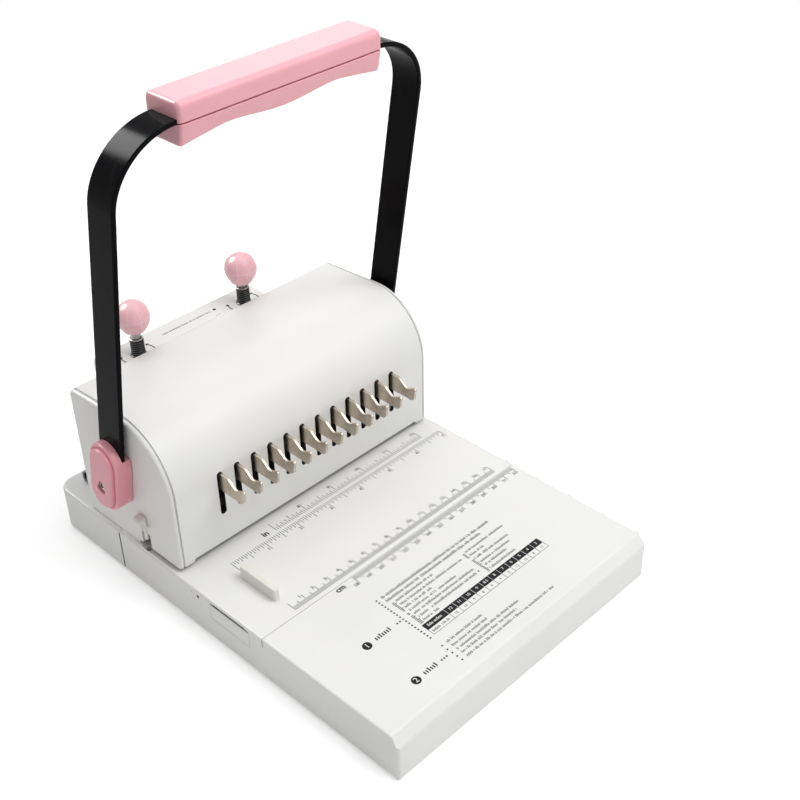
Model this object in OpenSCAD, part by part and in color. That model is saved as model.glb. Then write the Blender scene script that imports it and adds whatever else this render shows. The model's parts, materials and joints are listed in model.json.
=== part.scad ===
// Table-top punch and wire binding machine.
// Frame: X to the right along the hooks, Y to the back, Z up, origin under the base's middle.

/* [Base] */
// Width of the base
base_w = 212.5; // [190:0.5:240]
// Depth of the base
base_d = 303; // [280:1:330]
// Height of the deck above the table
deck_z = 31; // [26:0.5:40]
// Wall thickness of the mouldings
wall = 2.4; // [1.8:0.1:4]
// Height of the moulding's lower rim above the table
rim_z = 1.2; // [0.5:0.1:2.4]
// Depth of the front bevel
bevel_y = 5.9; // [2:0.1:10]
// Height of the front bevel
bevel_z = 6.8; // [2:0.1:10]
// Y of the seam between the front deck and the deck panel
seam_y = -47.9; // [-60:0.1:-30]
// Width of a seam
seam_gap = 0.4; // [0.2:0.05:1]
// Thickness of the deck panel
panel_t = 2.5; // [2:0.1:4]
// Y of the seam between the base and the chip drawer
drawer_y = 84.8; // [80:0.1:90]
// Corner radius of the base's rear
rear_r = 10.6; // [5:0.1:16]
// Corner radius of the base's front
front_r = 2.5; // [1:0.1:6]
// Thickness of the bottom plate
plate_t = 1.5; // [1:0.1:3]
// Height of a rubber foot
foot_h = 2.5; // [2:0.1:4]
// Radius of a rubber foot
foot_r = 7; // [4:0.5:10]

/* [Chip drawer] */
// Clearance between the chip tray and a side frame
tray_c = 5.5; // [3:0.5:12]
// Y of the tray's front
tray_y = 50; // [46:0.5:56]
// Lower face of the tray
tray_z0 = 5; // [4.5:0.1:8]
// Rim of the tray
tray_z1 = 24; // [16:0.5:24.2]
// Radius of the finger scoop in the drawer's back
scoop_r = 9; // [5:0.5:10]
// Half width of the finger scoop
scoop_x = 32; // [15:1:45]

/* [Edge guide] */
// From the base's left side to the guide block
guide_in = 24.25; // [12:0.25:32]
// Thickness of the guide block
guide_t = 4; // [3:0.1:6]
// Front end of the guide block
guide_y0 = -31.3; // [-40:0.1:-25]
// Length of the guide block
guide_l = 30.5; // [20:0.5:40]
// Height of the guide block
guide_h = 8.6; // [5:0.1:12]
// Radius of a guide peg
guide_peg_r = 1.5; // [1:0.1:2]
// Clearance around a guide peg
guide_peg_c = 0.3; // [0.2:0.05:0.5]
// Front edge of the slide-out extension
ext_y0 = -36; // [-42:0.5:-34]
// Rear edge of the slide-out extension
ext_y1 = -2.5; // [-6:0.5:2]
// Right end of the extension's plate
ext_x1 = 60; // [50:1:80]
// Thickness of the extension's plate
ext_t = 2; // [1.5:0.1:2.2]
// Height of the extension's end flap
flap_h = 10.3; // [6:0.1:14]
// Finger gap over the flap
finger_gap = 1.2; // [0.8:0.1:2]
// Clearance around the extension
ext_c = 0.3; // [0.2:0.05:0.5]

/* [Housing] */
// Set-in of the end caps from the base's sides
cap_in = 2.75; // [1.75:0.05:6]
// Width of an end cap's rim
cap_w = 10.5; // [8:0.1:14]
// Y of the housing's front face
front_y = 26.2; // [22:0.1:30]
// Y of the housing's rear face
rear_y = 117; // [112:0.5:120]
// Radius of the housing's front shoulder
shoulder_r = 40; // [34:0.5:44]
// Top of the housing
top_z = 122.4; // [116:0.1:130]
// Fall of the housing's top towards the rear
top_drop = 2.6; // [0.5:0.1:5]
// Radius of the housing's rear top edge
crest_r = 4.5; // [4.2:0.1:8]
// Height of the paper throat above the deck
throat_h = 3; // [2:0.1:4]
// Lower edge of the main cover above the throat's roof
cover_step = 1.6; // [1:0.1:2.5]
// Lower edge of the cover's rear wall
lip_z = 100; // [90:0.5:108]
// Width of the bead at the cap's edge
bead_w = 2.4; // [1:0.1:4]
// Width of the groove beside the bead
groove_w = 0.9; // [0.5:0.1:2]
// Depth of the groove beside the bead
groove_d = 1.1; // [0.5:0.1:2]
// Front of the notch in the cap's lower edge
notch_y0 = 54; // [50:0.5:56]
// Rear of the notch in the cap's lower edge
notch_y1 = 62.5; // [60:0.5:65]
// Height of the notch above the deck
notch_h = 13; // [8:0.5:16]
// Radius of the shaft opening in a cap
cap_hole_r = 8; // [7:0.5:10]
// Left end of the crimp hood
hood_x0 = -72; // [-85:1:-66]
// Right end of the crimp hood
hood_x1 = 52; // [46:1:70]
// Rear face of the crimp hood
hood_y = 140; // [132:0.5:145]
// Top of the crimp hood
hood_z = 115; // [108:0.5:118]
// Lower edge of the crimp hood
hood_z0 = 78; // [72:0.5:90]
// Corner radius of the crimp hood
hood_r = 4; // [2:0.5:8]

/* [Slots and hooks] */
// Room between the last punch and a return spring
row_end = 1; // [0.5:0.1:4]
// Pitch of hooks and punches
pitch = 12.7; // [12.7]
// X of the row's middle
row_x = 1.3; // [0:0.1:5]
// Width of a slot
slot_w = 4.2; // [3.4:0.1:5]
// Lower end of the slots
slot_z0 = 55.2; // [50:0.1:57]
// Upper end of the slots
slot_z1 = 85.8; // [85:0.1:90]
// Thickness of a hook plate
hook_t = 1.7; // [1.4:0.1:3]
// Upper edge of a hook's root
hook_z1 = 84.4; // [82:0.1:85]
// Lower edge of a hook's root
hook_z0 = 73; // [71:0.1:74]
// Y of a hook's tip
hook_y = 4.8; // [2:0.1:8]
// Front face of the hook bar
hook_bar_y = 32; // [31:0.5:36]
// Thickness of the hook bar
hook_bar_t = 4; // [3:0.5:6]

/* [Punch] */
// Y of the row of holes
die_y = 62; // [58:0.5:64]
// Paper stop behind the line of the punches
stop_in = 4; // [3:0.5:6]
// Depth of the die plate
die_d = 19; // [16:0.5:22]
// Thickness of the die plate
die_t = 4; // [3:0.5:5]
// Side of a punch along the row
punch_w = 5.4; // [4:0.1:6]
// Side of a punch across the row
punch_d = 4; // [3:0.1:5]
// Clearance around a punch
punch_c = 0.3; // [0.2:0.05:0.5]
// Thickness of the stripper plate
stripper_t = 6.5; // [5:0.5:8]
// Punch tips above the throat's roof
tip_up = 2.5; // [1:0.5:4]
// Lower face of the punch bar
bar_z = 62; // [58:0.5:64]
// Height of the punch bar
bar_h = 14; // [10:0.5:16]
// Depth of the punch bar
bar_d = 12; // [10:0.5:13]
// Radius of a guide rod
rod_r = 3.5; // [3:0.1:4]
// From a guide rod to the side frame
rod_in = 13.5; // [12.5:0.5:15.5]
// Length of a guide rod above the stripper
rod_l = 64; // [50:1:72]
// Running clearance of the guide rods
rod_c = 0.05; // [0.02:0.01:0.1]
// Wire radius of the return springs
spring_wire = 0.6; // [0.4:0.05:0.8]
// Mean radius of the return springs
spring_r = 5; // [4.4:0.1:5.4]
// Curls of a return spring
spring_n = 6; // [4:1:8]

/* [Drive] */
// Y of the handle shaft
shaft_y = 76; // [72:0.5:80]
// Height of the handle shaft
shaft_z = 76; // [70:0.5:82]
// Radius of the handle shaft
shaft_r = 6; // [5:0.5:7]
// Running clearance of the shaft in its bushes
shaft_c = 0.05; // [0.02:0.01:0.1]
// Gear module
gear_m = 1.25; // [1.25]
// Teeth of a pinion
gear_n = 14; // [12:1:16]
// Half thickness of a tooth at the pitch line
tooth_h = 0.62; // [0.5:0.02:0.7]
// Width of a pinion
gear_w = 5; // [4:0.5:5.5]
// From a cap's outer face to the side frame's inner face
frame_in = 6; // [5.5:0.1:7]
// Thickness of the side frames
frame_t = 2.5; // [2:0.5:3]
// Radius of a shaft bush
bush_r = 9; // [8:0.5:10]

/* [Handle] */
// Gap between the strap and an end cap
strap_gap = 2.8; // [2:0.1:4]
// Lean of each strap leg towards the middle
strap_in = 1.5; // [0:0.5:6]
// Thickness of the strap
strap_t = 3; // [2:0.5:4]
// Width of the strap
strap_w = 21; // [18:0.5:24]
// Outer bend radius of the strap
strap_r = 40; // [25:1:41]
// Top face of the strap
strap_z = 299.8; // [280:0.2:310]
// Y of the grip's middle
grip_y = 35; // [25:0.5:45]
// Length of the grip
grip_l = 133; // [110:1:137]
// Depth of the grip
grip_d = 24.6; // [24:0.2:30]
// Top of the grip above the strap
grip_up = 8.2; // [6:0.2:12]
// Bottom of the grip's ends below the strap's top
grip_down = 15.2; // [12:0.2:18]
// Parting plane below the strap's top
grip_part = 2.3; // [1.5:0.1:2.8]
// Parting gap of the grip
part_gap = 0.3; // [0.2:0.05:0.6]
// Edge radius of the grip
grip_r = 1.8; // [1:0.1:4]
// Height of the finger scoops
scoop_h = 6.3; // [3:0.1:8]
// X of the finger scoops
grip_scoop_x = 38; // [30:0.5:45]
// Height of the belly between the scoops
belly_h = 2.5; // [0:0.1:4]
// Half width of a pivot cover
cover_r = 12.6; // [11.5:0.1:16]
// Height of a pivot cover above the shaft
cover_up = 18; // [10:0.5:24]
// Depth of a pivot cover below the shaft
cover_dn = 4; // [0:0.5:8]
// Wall of a pivot cover outside the strap
cover_t = 6.3; // [5:0.1:8]
// Height of a pivot cover's flanges beside the strap above the shaft
flange_up = 21; // [14:0.5:26]
// Raised face of a pivot cover
face_h = 1.2; // [0.6:0.1:2]
// Border around the raised face
face_b = 2.2; // [1.5:0.1:4]
// Gap between a pivot cover and the end cap
cover_gap = 0.5; // [0.3:0.1:1]
// Head radius of a pivot screw
head_r = 3.9; // [3:0.1:4.5]
// Height of a pivot screw's head
head_h = 3.2; // [2:0.1:3.6]
// Shank radius of a pivot screw
shank_r = 2; // [1.5:0.1:2.5]

/* [Top knobs] */
// X of the left knob
knob_xl = -49.2; // [-58:0.1:-44]
// X of the right knob
knob_xr = 34.5; // [28:0.5:38]
// Y of the knobs
knob_y = 122.5; // [122:0.5:126]
// Radius of a knob
knob_r = 10.2; // [8:0.1:12]
// Height of a knob
knob_h = 19.6; // [17:0.1:24]
// Radius of a knob's foot
knob_foot = 6.6; // [5:0.1:7.5]
// Radius of a threaded sleeve
sleeve_r = 4.4; // [3.6:0.1:5]
// Top of the threaded sleeves
sleeve_z = 126.6; // [122:0.1:130]
// Radius of a knob's pin
pin_r = 3; // [2:0.1:3.4]
// Running clearance of a pin in its sleeve
pin_c = 0.05; // [0.02:0.01:0.1]
// Left knob above its sleeve
knob_gap_l = 6.1; // [3.5:0.1:8]
// Right knob above its sleeve
knob_gap_r = 4.3; // [1.5:0.1:8]

/* [Crimper and peg] */
// Gap between the crimp anvil's end and an end cap
anvil_in = 1; // [0.5:0.1:6]
// Thickness of the crimp anvil
anvil_t = 2; // [1.5:0.1:3]
// Lip of the crimp anvil
anvil_lip = 4; // [2:0.5:6]
// Rear edge of the crimp anvil
anvil_y = 142; // [136:0.5:145]
// Gap between the crimp bar's end and an end cap
crimp_in = 3; // [2:0.1:10]
// Front face of the crimp bar
crimp_y = 121; // [119:0.5:124]
// Depth of the crimp bar
crimp_d = 14; // [8:0.5:16]
// Height of the crimp arms
arm_h = 6; // [4:0.5:6.5]
// Half size of the peg's button
peg_b = 3.8; // [3:0.1:5]
// Y of the peg
peg_y = 58; // [56:0.5:60]
// Height of the peg's button
peg_z = 53.4; // [50:0.1:56]
// Radius of the alignment peg
peg_r = 1.5; // [1:0.1:1.8]
// Clearance around the peg's stem
peg_c = 0.4; // [0.3:0.05:0.6]

/* [Hidden] */
$fn = 64;
eps = 0.01;
hw = base_w / 2;
y0 = -base_d / 2;
y1 = base_d / 2;
in_x = hw - wall;
cap_x = hw - cap_in;
cover_x = cap_x - cap_w;
frame_x = cap_x - frame_in;
tray_x = frame_x - tray_c;
rod_x = frame_x - rod_in;
guide_x = guide_in - hw;
// as many hooks and punches as fit between the return springs
row_room = rod_x - spring_r - spring_wire - row_end - punch_w / 2 - row_x;
hook_n = floor(2 * row_room / pitch) + 1;
strap_x = cap_x + strap_gap;
cover_x1 = strap_x + strap_t + cover_t;
anvil_x = cover_x - anvil_in;
crimp_x = cover_x - crimp_in;
top_a = atan(top_drop / (rear_y - crest_r - front_y - shoulder_r));
panel_z = deck_z - panel_t;
die_y0 = die_y - die_d / 2 - 0.5;
die_y1 = die_y0 + die_d;
die_z = deck_z - die_t;
die_x = frame_x - 1;
roof_z = deck_z + throat_h;
strip_z = roof_z + stripper_t;
tip_z = roof_z + tip_up;
bar_y0 = die_y - bar_d / 2;
bar_y1 = die_y + bar_d / 2;
bar_z1 = bar_z + bar_h;
bar_x = frame_x - gear_w - 1.5;
sh_y = front_y + shoulder_r;
sh_z = top_z - shoulder_r;
crest_z = sh_z + (shoulder_r - crest_r) / cos(top_a) - (rear_y - crest_r - sh_y) * tan(top_a);
gear_r = gear_m * gear_n / 2;
pitch_y = shaft_y - gear_r;
rack_x0 = bar_x;
rack_x1 = bar_x + gear_w;
lean_t = (shaft_y - grip_y) / (strap_z - strap_t / 2 - shaft_z);
lean_a = atan(lean_t);
bend_z = strap_z - strap_r;
bend_x = strap_x - strap_in + strap_t - strap_r;
leg_z = shaft_z + cover_up + cover_r + 4;
part_z = strap_z - grip_part;
stop_y = die_y + stop_in;
frame_x1 = frame_x + frame_t;
ext_z = panel_z - ext_c - ext_t;
flap_z1 = panel_z - finger_gap;
flap_z0 = flap_z1 - flap_h;
peg_x = -cap_x + 0.5;
anvil_z = deck_z + 1;
cover_x0 = cap_x + cover_gap;
shaft_x = strap_x + strap_t + 1.5;
screw_x = cover_x1 - 2.6;
frame_y0 = front_y + 7.8;
frame_y1 = rear_y - 9;
frame_z1 = top_z - top_drop - 8;
foot_y0 = shaft_y - 6;
foot_y1 = shaft_y + 7;
foot_x = hw - 16.25;
foot_front = y0 + 16.5;
foot_rear = foot_y1 - foot_r - 4;

white = [0.93, 0.93, 0.92];
pink = [0.95, 0.72, 0.76];
black = [0.05, 0.05, 0.06];
steel = [0.66, 0.65, 0.62];
dark = [0.22, 0.22, 0.2];
zinc = [0.75, 0.75, 0.73];
brassy = [0.72, 0.58, 0.3];

function row(i) = row_x + (i - (hook_n - 1) / 2) * pitch;
function lean(z) = shaft_y - (z - shaft_z) * lean_t;
// Underside of the grip over its length: two finger scoops with a belly between them
function under(x) = abs(x) > grip_scoop_x
    ? scoop_h * (0.5 + 0.5 * cos(180 * (abs(x) - grip_scoop_x) / (grip_l / 2 - grip_scoop_x)))
    : belly_h + (scoop_h - belly_h) * (0.5 - 0.5 * cos(180 * abs(x) / grip_scoop_x));

module bx(xa, xb, ya, yb, za, zb) {
    translate([xa, ya, za]) cube([xb - xa, yb - ya, zb - za]);
}
// A YZ outline drawn out along X
module along_x(xa, xb) {
    translate([xa, 0, 0]) rotate([90, 0, 90]) linear_extrude(xb - xa) children();
}
module rod_x_(xa, xb, y, z, r) {
    translate([xa, y, z]) rotate([0, 90, 0]) cylinder(h = xb - xa, r = r);
}
module rod_y_(ya, yb, x, z, r) {
    translate([x, ya, z]) rotate([-90, 0, 0]) cylinder(h = yb - ya, r = r);
}
module rod_z_(za, zb, x, y, r) {
    translate([x, y, za]) cylinder(h = zb - za, r = r);
}
module rr(xa, xb, ya, yb, r) {
    translate([xa + r, ya]) square([xb - xa - 2 * r, yb - ya]);
    translate([xa, ya + r]) square([xb - xa, yb - ya - 2 * r]);
    for (x = [xa + r, xb - r], y = [ya + r, yb - r]) translate([x, y]) circle(r);
}
// The housing's side outline, set in by d, from height zb up: a block cut by the sloping top, with its
// front shoulder and its rear crest rounded off
module outline(d, zb) {
    rs = shoulder_r - d;
    rc = max(crest_r - d, 0.3);
    difference() {
        translate([front_y + d, zb]) square([rear_y - front_y - 2 * d, top_z + 5 - zb]);
        translate([sh_y, sh_z]) rotate(-top_a) translate([-100, rs]) square([300, 40]);
        difference() {
            translate([front_y + d - 1, sh_z]) square([rs + 1 + rs * sin(top_a), shoulder_r + 10]);
            translate([sh_y, sh_z]) circle(rs, $fn = 128);
            translate([sh_y, sh_z]) rotate(-top_a) square([100, 100]);
        }
        difference() {
            translate([rear_y - crest_r, crest_z]) square([crest_r + 1, crest_r + 10]);
            translate([rear_y - crest_r, crest_z]) circle(rc);
        }
    }
}
module both() {
    children();
    mirror([1, 0, 0]) children();
}

module front_base() color(white) difference() {
    union() {
        difference() {
            along_x(-hw, hw) polygon([[y0, rim_z], [y0, deck_z - bevel_z], [y0 + bevel_y, deck_z],
                [drawer_y - seam_gap, deck_z], [drawer_y - seam_gap, rim_z]]);
            along_x(-in_x, in_x) polygon([[y0 + wall, 0], [y0 + wall, deck_z - bevel_z - 1],
                [y0 + wall + bevel_y, panel_z], [drawer_y, panel_z], [drawer_y, 0]]);
            // room for the deck panel and the die plate
            bx(-hw - 1, hw + 1, seam_y, die_y0, panel_z, deck_z + 1);
            bx(-die_x, die_x, die_y0 - 1, die_y1, panel_z - 1, deck_z + 1);
            for (s = [-1, 1]) difference() {
                translate([s * hw, y0, 0]) cube([2 * front_r, 2 * front_r, 4 * deck_z], center = true);
                translate([s * (hw - front_r), y0 + front_r, -1]) cylinder(h = 3 * deck_z, r = front_r);
            }
        }
        // side ledges under the deck panel
        for (s = [-1, 1]) bx(s > 0 ? in_x - 5 : -in_x - eps, s > 0 ? in_x + eps : 5 - in_x,
            seam_y - 6, die_y0, panel_z - 2, panel_z);
        bx(-in_x - eps, in_x + eps, seam_y - 8, seam_y, panel_z - 2, panel_z + eps);
        // runners under the slide-out extension
        bx(-in_x - eps, in_x + eps, ext_y0 - 4, ext_y0 + 2, ext_z - 6 - ext_c, ext_z - ext_c);
        bx(-in_x - eps, in_x + eps, ext_y1 - 2, ext_y1 + 4, ext_z - 6 - ext_c, ext_z - ext_c);
        // bearers of the die plate
        bx(-in_x - eps, in_x + eps, die_y0 - 2, die_y0 + 2, tray_z1 + 0.6, die_z);
        bx(-in_x - eps, in_x + eps, die_y1 - 2, die_y1 + 2, tray_z1 + 0.6, die_z);
        bx(-in_x - eps, in_x + eps, die_y0 - 2, die_y0, die_z - eps, panel_z);
        both() bx(die_x, in_x + eps, die_y0, die_y0 + 2, die_z - eps, panel_z + eps);
        bx(-in_x - eps, in_x + eps, die_y1, die_y1 + 2, die_z - eps, panel_z + eps);
    }
    // window for the extension
    bx(-hw - 1, -in_x + 6, ext_y0 - ext_c, ext_y1 + ext_c, flap_z0 - ext_c, panel_z);
    // hole that takes the alignment peg
    rod_z_(deck_z - 9, deck_z + 1, peg_x, peg_y, peg_r + peg_c);
    // passages of the side frames
    for (s = [-1, 1]) bx(s > 0 ? frame_x : -frame_x1, s > 0 ? frame_x1 : -frame_x,
        foot_y0, foot_y1, 0, deck_z + 1);
}
module deck_panel() color(white) difference() {
    bx(-hw, hw, seam_y + seam_gap, die_y0, panel_z, deck_z);
    for (y = guide_pegs())
        rod_z_(panel_z - 1, deck_z + 1, guide_x + guide_t / 2, y, guide_peg_r + guide_peg_c);
    // finger gap in the left edge
    bx(-hw - 1, -in_x + 0.6, ext_y0 + 3, ext_y1 - 2.5, panel_z - 1, panel_z + 0.6);
}
function guide_pegs() = [guide_y0 + guide_l * 0.2, guide_y0 + guide_l * 0.8];
module bottom_plate() color(steel)
    difference() {
        bx(-in_x, in_x, y0 + wall, foot_y1 + 1, foot_h, foot_h + plate_t);
        for (s = [-1, 1], y = [y0 * 0.4, foot_y0 - 50]) rod_z_(0, foot_h + plate_t + 2, s * hw * 0.56, y, 2);
    }
module rubber_feet() color(dark)
    for (x = [-foot_x, foot_x], y = [foot_front, foot_rear]) rod_z_(0, foot_h, x, y, foot_r);

module frame_side() difference() {
    along_x(frame_x, frame_x1) polygon([[frame_y0, roof_z + 0.3], [stop_y + 2, roof_z + 0.3],
        [foot_y0, deck_z], [foot_y0, foot_h + plate_t], [foot_y1, foot_h + plate_t], [foot_y1, deck_z + 5],
        [frame_y1, deck_z + 5], [frame_y1, frame_z1], [frame_y0 + 28, frame_z1],
        [frame_y0, frame_z1 - 22]]);
    rod_x_(frame_x - 1, frame_x1 + 1, shaft_y, shaft_z, bush_r);
}
module right_frame() color(steel) frame_side();
module left_frame() color(steel) mirror([1, 0, 0]) frame_side();
module bush() difference() {
    union() {
        rod_x_(frame_x, frame_x1 + 0.9, shaft_y, shaft_z, bush_r);
        rod_x_(frame_x1, frame_x1 + 0.9, shaft_y, shaft_z, bush_r + 1.5);
    }
    rod_x_(frame_x - 1, frame_x1 + 3, shaft_y, shaft_z, shaft_r + shaft_c);
}
module right_bush() color(brassy) bush();
module left_bush() color(brassy) mirror([1, 0, 0]) bush();

module die_plate() color(steel) difference() {
    bx(-die_x, die_x, die_y0, die_y1, die_z, deck_z);
    for (i = [0 : hook_n - 1]) translate([row(i), die_y, deck_z]) cube([punch_w + 2 * punch_c,
        punch_d + 2 * punch_c, 4 * die_t], center = true);
}
module stripper_plate() color(steel) difference() {
    union() {
        bx(-frame_x, frame_x, die_y - 8, stop_y + 8, roof_z, strip_z);
        bx(-frame_x, frame_x, stop_y, stop_y + 5, deck_z, roof_z + eps);
    }
    for (i = [0 : hook_n - 1]) translate([row(i), die_y, strip_z]) cube([punch_w + 2 * punch_c,
        punch_d + 2 * punch_c, 4 * stripper_t], center = true);
    for (s = [-1, 1]) rod_z_(roof_z - 1, strip_z + 1, s * rod_x, die_y, rod_r);
}
module guide_rods() color(zinc)
    for (s = [-1, 1]) rod_z_(roof_z, strip_z + rod_l, s * rod_x, die_y, rod_r);

module cap_side() difference() {
    union() {
        // flush rim, groove and bead, then the side wall
        difference() {
            union() {
                along_x(cover_x, cap_x - bead_w - groove_w) outline(0, deck_z);
                along_x(cap_x - bead_w - groove_w - eps, cap_x - bead_w + eps) outline(groove_d, deck_z);
                along_x(cap_x - bead_w, cap_x) outline(0.25, deck_z);
            }
            along_x(cover_x - 1, cap_x - wall) outline(wall, deck_z - 5);
        }
        // tongue under the main cover
        difference() {
            along_x(cover_x - 5, cover_x + 2) outline(wall, deck_z + 8);
            along_x(cover_x - 6, cover_x + 3) outline(wall + 1.4, deck_z - 5);
            bx(cover_x - 6, cover_x, rear_y - 20, rear_y, 0, lip_z + 12.5);
        }
        // bosses on the side frame
        for (p = [[frame_y0 + 12, roof_z + 10], [frame_y0 + 12, frame_z1 - 24], [frame_y1 - 8, frame_z1 - 8],
            [frame_y1 - 8, deck_z + 14]])
            rod_x_(frame_x1, cap_x - wall + eps, p[0], p[1], 4);
    }
    // throat along the front and the notch behind it
    bx(cover_x - 6, cap_x + 1, front_y - 1, stop_y, deck_z - 1, roof_z);
    bx(cover_x - 6, cap_x + 1, notch_y0, notch_y1, deck_z - 1, deck_z + notch_h);
    bx(cover_x - 6, cap_x + 1, drawer_y - seam_gap, rear_y + 1, deck_z - 1, deck_z + 0.5);
    rod_x_(cap_x - wall - 1, cap_x + 1, shaft_y, shaft_z, cap_hole_r);
}
module right_cap() color(white) cap_side();
module left_cap() color(white) difference() {
    mirror([1, 0, 0]) cap_side();
    // slot of the alignment peg's stem
    bx(-cap_x - 1, -cap_x + wall + 1, peg_y - peg_r - peg_c, peg_y + peg_r + peg_c, deck_z,
        peg_z + 3 + peg_c);
}
module main_cover() color(white) difference() {
    along_x(-cover_x, cover_x) outline(0, roof_z + cover_step);
    along_x(-cover_x - 1, cover_x + 1) outline(wall, 0);
    bx(-cover_x - 1, cover_x + 1, sh_y, rear_y + 1, 0, lip_z);
    for (i = [0 : hook_n - 1]) {
        for (z = [slot_z0 + slot_w / 2, slot_z1 - slot_w / 2])
            rod_y_(front_y - 1, front_y + wall + 1, row(i), z, slot_w / 2);
        bx(row(i) - slot_w / 2, row(i) + slot_w / 2, front_y - 1, front_y + wall + 1,
            slot_z0 + slot_w / 2, slot_z1 - slot_w / 2);
    }
}
module rear_panel() color(white) difference() {
    bx(-cover_x, cover_x, rear_y - wall - 2, rear_y - wall, anvil_z + anvil_t, lip_z + 12);
    // passages of the crimp arms
    for (s = [-1, 1]) bx(s * (crimp_x - 2.5) - 3, s * (crimp_x - 2.5) + 3, rear_y - wall - 4, rear_y,
        bar_z - 16, bar_z + arm_h + 3);
}
module crimp_hood() color(white) difference() {
    translate([0, 0, hood_z0]) linear_extrude(hood_z - hood_z0)
        union() {
            rr(hood_x0, hood_x1, rear_y, hood_y, hood_r);
            translate([hood_x0, rear_y]) square([hood_x1 - hood_x0, hood_r]);
        }
    bx(hood_x0 + wall, hood_x1 - wall, rear_y - 1, hood_y - wall, hood_z0 - 1, hood_z - wall);
    for (x = [knob_xl, knob_xr]) rod_z_(hood_z - 10, hood_z + 1, x, knob_y, sleeve_r);
}
module crimp_anvil() color(dark) {
    bx(-anvil_x, anvil_x, rear_y - 20, anvil_y, anvil_z, anvil_z + anvil_t);
    bx(-anvil_x, anvil_x, anvil_y - anvil_t, anvil_y, anvil_z, anvil_z + anvil_t + anvil_lip);
}
module sleeve(x) difference() {
    union() {
        rod_z_(hood_z - 14, sleeve_z, x, knob_y, sleeve_r);
        // nut under the hood's top
        translate([x, knob_y, hood_z - wall - 4]) cylinder(h = 4, r = 5.4, $fn = 6);
    }
    rod_z_(hood_z - 15, sleeve_z + 1, x, knob_y, pin_r + pin_c);
}
module left_sleeve() color(black) sleeve(knob_xl);
module right_sleeve() color(black) sleeve(knob_xr);

module chip_drawer() color(white) difference() {
    union() {
        difference() {
            translate([0, 0, rim_z]) linear_extrude(deck_z - rim_z) union() {
                rr(-hw, hw, drawer_y, y1, rear_r);
                translate([-hw, drawer_y]) square([base_w, rear_r]);
            }
            translate([0, 0, rim_z + wall]) linear_extrude(deck_z - rim_z - 2 * wall)
                rr(-in_x, in_x, drawer_y + wall, y1 - wall, rear_r - wall);
        }
        bx(-tray_x, tray_x, tray_y, drawer_y + wall, tray_z0, tray_z1);
        bx(-scoop_x - 4, scoop_x + 4, y1 - 13, y1 - wall + eps, rim_z + wall - eps, deck_z - wall + eps);
    }
    bx(-tray_x + wall, tray_x - wall, tray_y + wall, drawer_y + wall + 1, tray_z0 + wall, tray_z1 + 1);
    bx(-tray_x + wall, tray_x - wall, drawer_y - 1, drawer_y + wall + 1, tray_z0 + wall, tray_z1 - 2);
    rod_x_(-scoop_x, scoop_x, y1 + 2.5, (deck_z + rim_z) / 2, scoop_r);
}

module edge_guide() color(white) {
    along_x(guide_x, guide_x + guide_t) polygon([[guide_y0, deck_z], [guide_y0, deck_z + guide_h - 2.5],
        [guide_y0 + 2.5, deck_z + guide_h], [guide_y0 + guide_l, deck_z + guide_h],
        [guide_y0 + guide_l, deck_z]]);
    for (y = guide_pegs()) rod_z_(panel_z, deck_z + eps, guide_x + guide_t / 2, y, guide_peg_r);
}
module guide_extension() color(white) {
    bx(-hw, -in_x, ext_y0, ext_y1, flap_z0, flap_z1);
    bx(-in_x - eps, ext_x1, ext_y0, ext_y1, ext_z, ext_z + ext_t);
    bx(-in_x - eps, -in_x + 4, ext_y0, ext_y1, flap_z0, flap_z1);
}
module alignment_peg() color(white) {
    // button outside the cap, web in its slot, keeper inside, and the peg over its hole
    bx(-cap_x - 5.6, -cap_x - 0.3, peg_y - peg_b, peg_y + peg_b, peg_z - peg_b, peg_z + peg_b);
    bx(-cap_x - 0.4, -cap_x + wall + 0.6, peg_y - peg_r, peg_y + peg_r, peg_z - 3, peg_z + 3);
    bx(-cap_x + wall + 0.2, -frame_x1 - 0.25, peg_y - 4, peg_y + 4, peg_z - 3, peg_z + 3);
    rod_z_(deck_z + 4, peg_z, peg_x, peg_y, peg_r);
}

module leg2d() {
    difference() {
        union() {
            polygon([[shaft_y - strap_w / 2, shaft_z], [shaft_y + strap_w / 2, shaft_z],
                [lean(leg_z) + strap_w / 2, leg_z], [lean(leg_z) - strap_w / 2, leg_z]]);
            translate([shaft_y, shaft_z]) circle(strap_w / 2);
        }
        translate([shaft_y, shaft_z]) circle(shaft_r);
    }
}
// Upper leg and rounded corner of the strap: a straight run, then rings that lean with the legs
module bend() {
    n = 24;
    foot = [for (p = [[0, -1], [1, -1], [1, 1], [0, 1]])
        [strap_x + p[0] * strap_t, lean(leg_z) + p[1] * strap_w / 2, leg_z]];
    pts = concat(foot, [for (k = [0 : n - 1]) let (a = 90 * k / (n - 1))
        for (p = [[strap_r - strap_t, -1], [strap_r, -1], [strap_r, 1], [strap_r - strap_t, 1]])
            let (z = bend_z + p[0] * sin(a)) [bend_x + p[0] * cos(a), lean(z) + p[1] * strap_w / 2, z]]);
    quads = [for (k = [0 : n - 1], j = [0 : 3])
        [k * 4 + j, (k + 1) * 4 + j, (k + 1) * 4 + (j + 1) % 4, k * 4 + (j + 1) % 4]];
    polyhedron(points = pts, faces = concat([[0, 1, 2, 3]], quads, [[n * 4 + 3, n * 4 + 2, n * 4 + 1, n * 4]]),
        convexity = 4);
}
module strap() color(black) {
    both() {
        along_x(strap_x, strap_x + strap_t) leg2d();
        bend();
    }
    along_x(-bend_x, bend_x) polygon([for (p = [[-1, 1], [1, 1], [1, 0], [-1, 0]])
        let (z = strap_z - p[1] * strap_t) [lean(z) + p[0] * strap_w / 2, z]]);
}
module strap_way() {
    bx(-grip_l, grip_l, grip_y - strap_w / 2 - 0.6, grip_y + strap_w / 2 + 0.6, strap_z - strap_t, strap_z);
}
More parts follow.
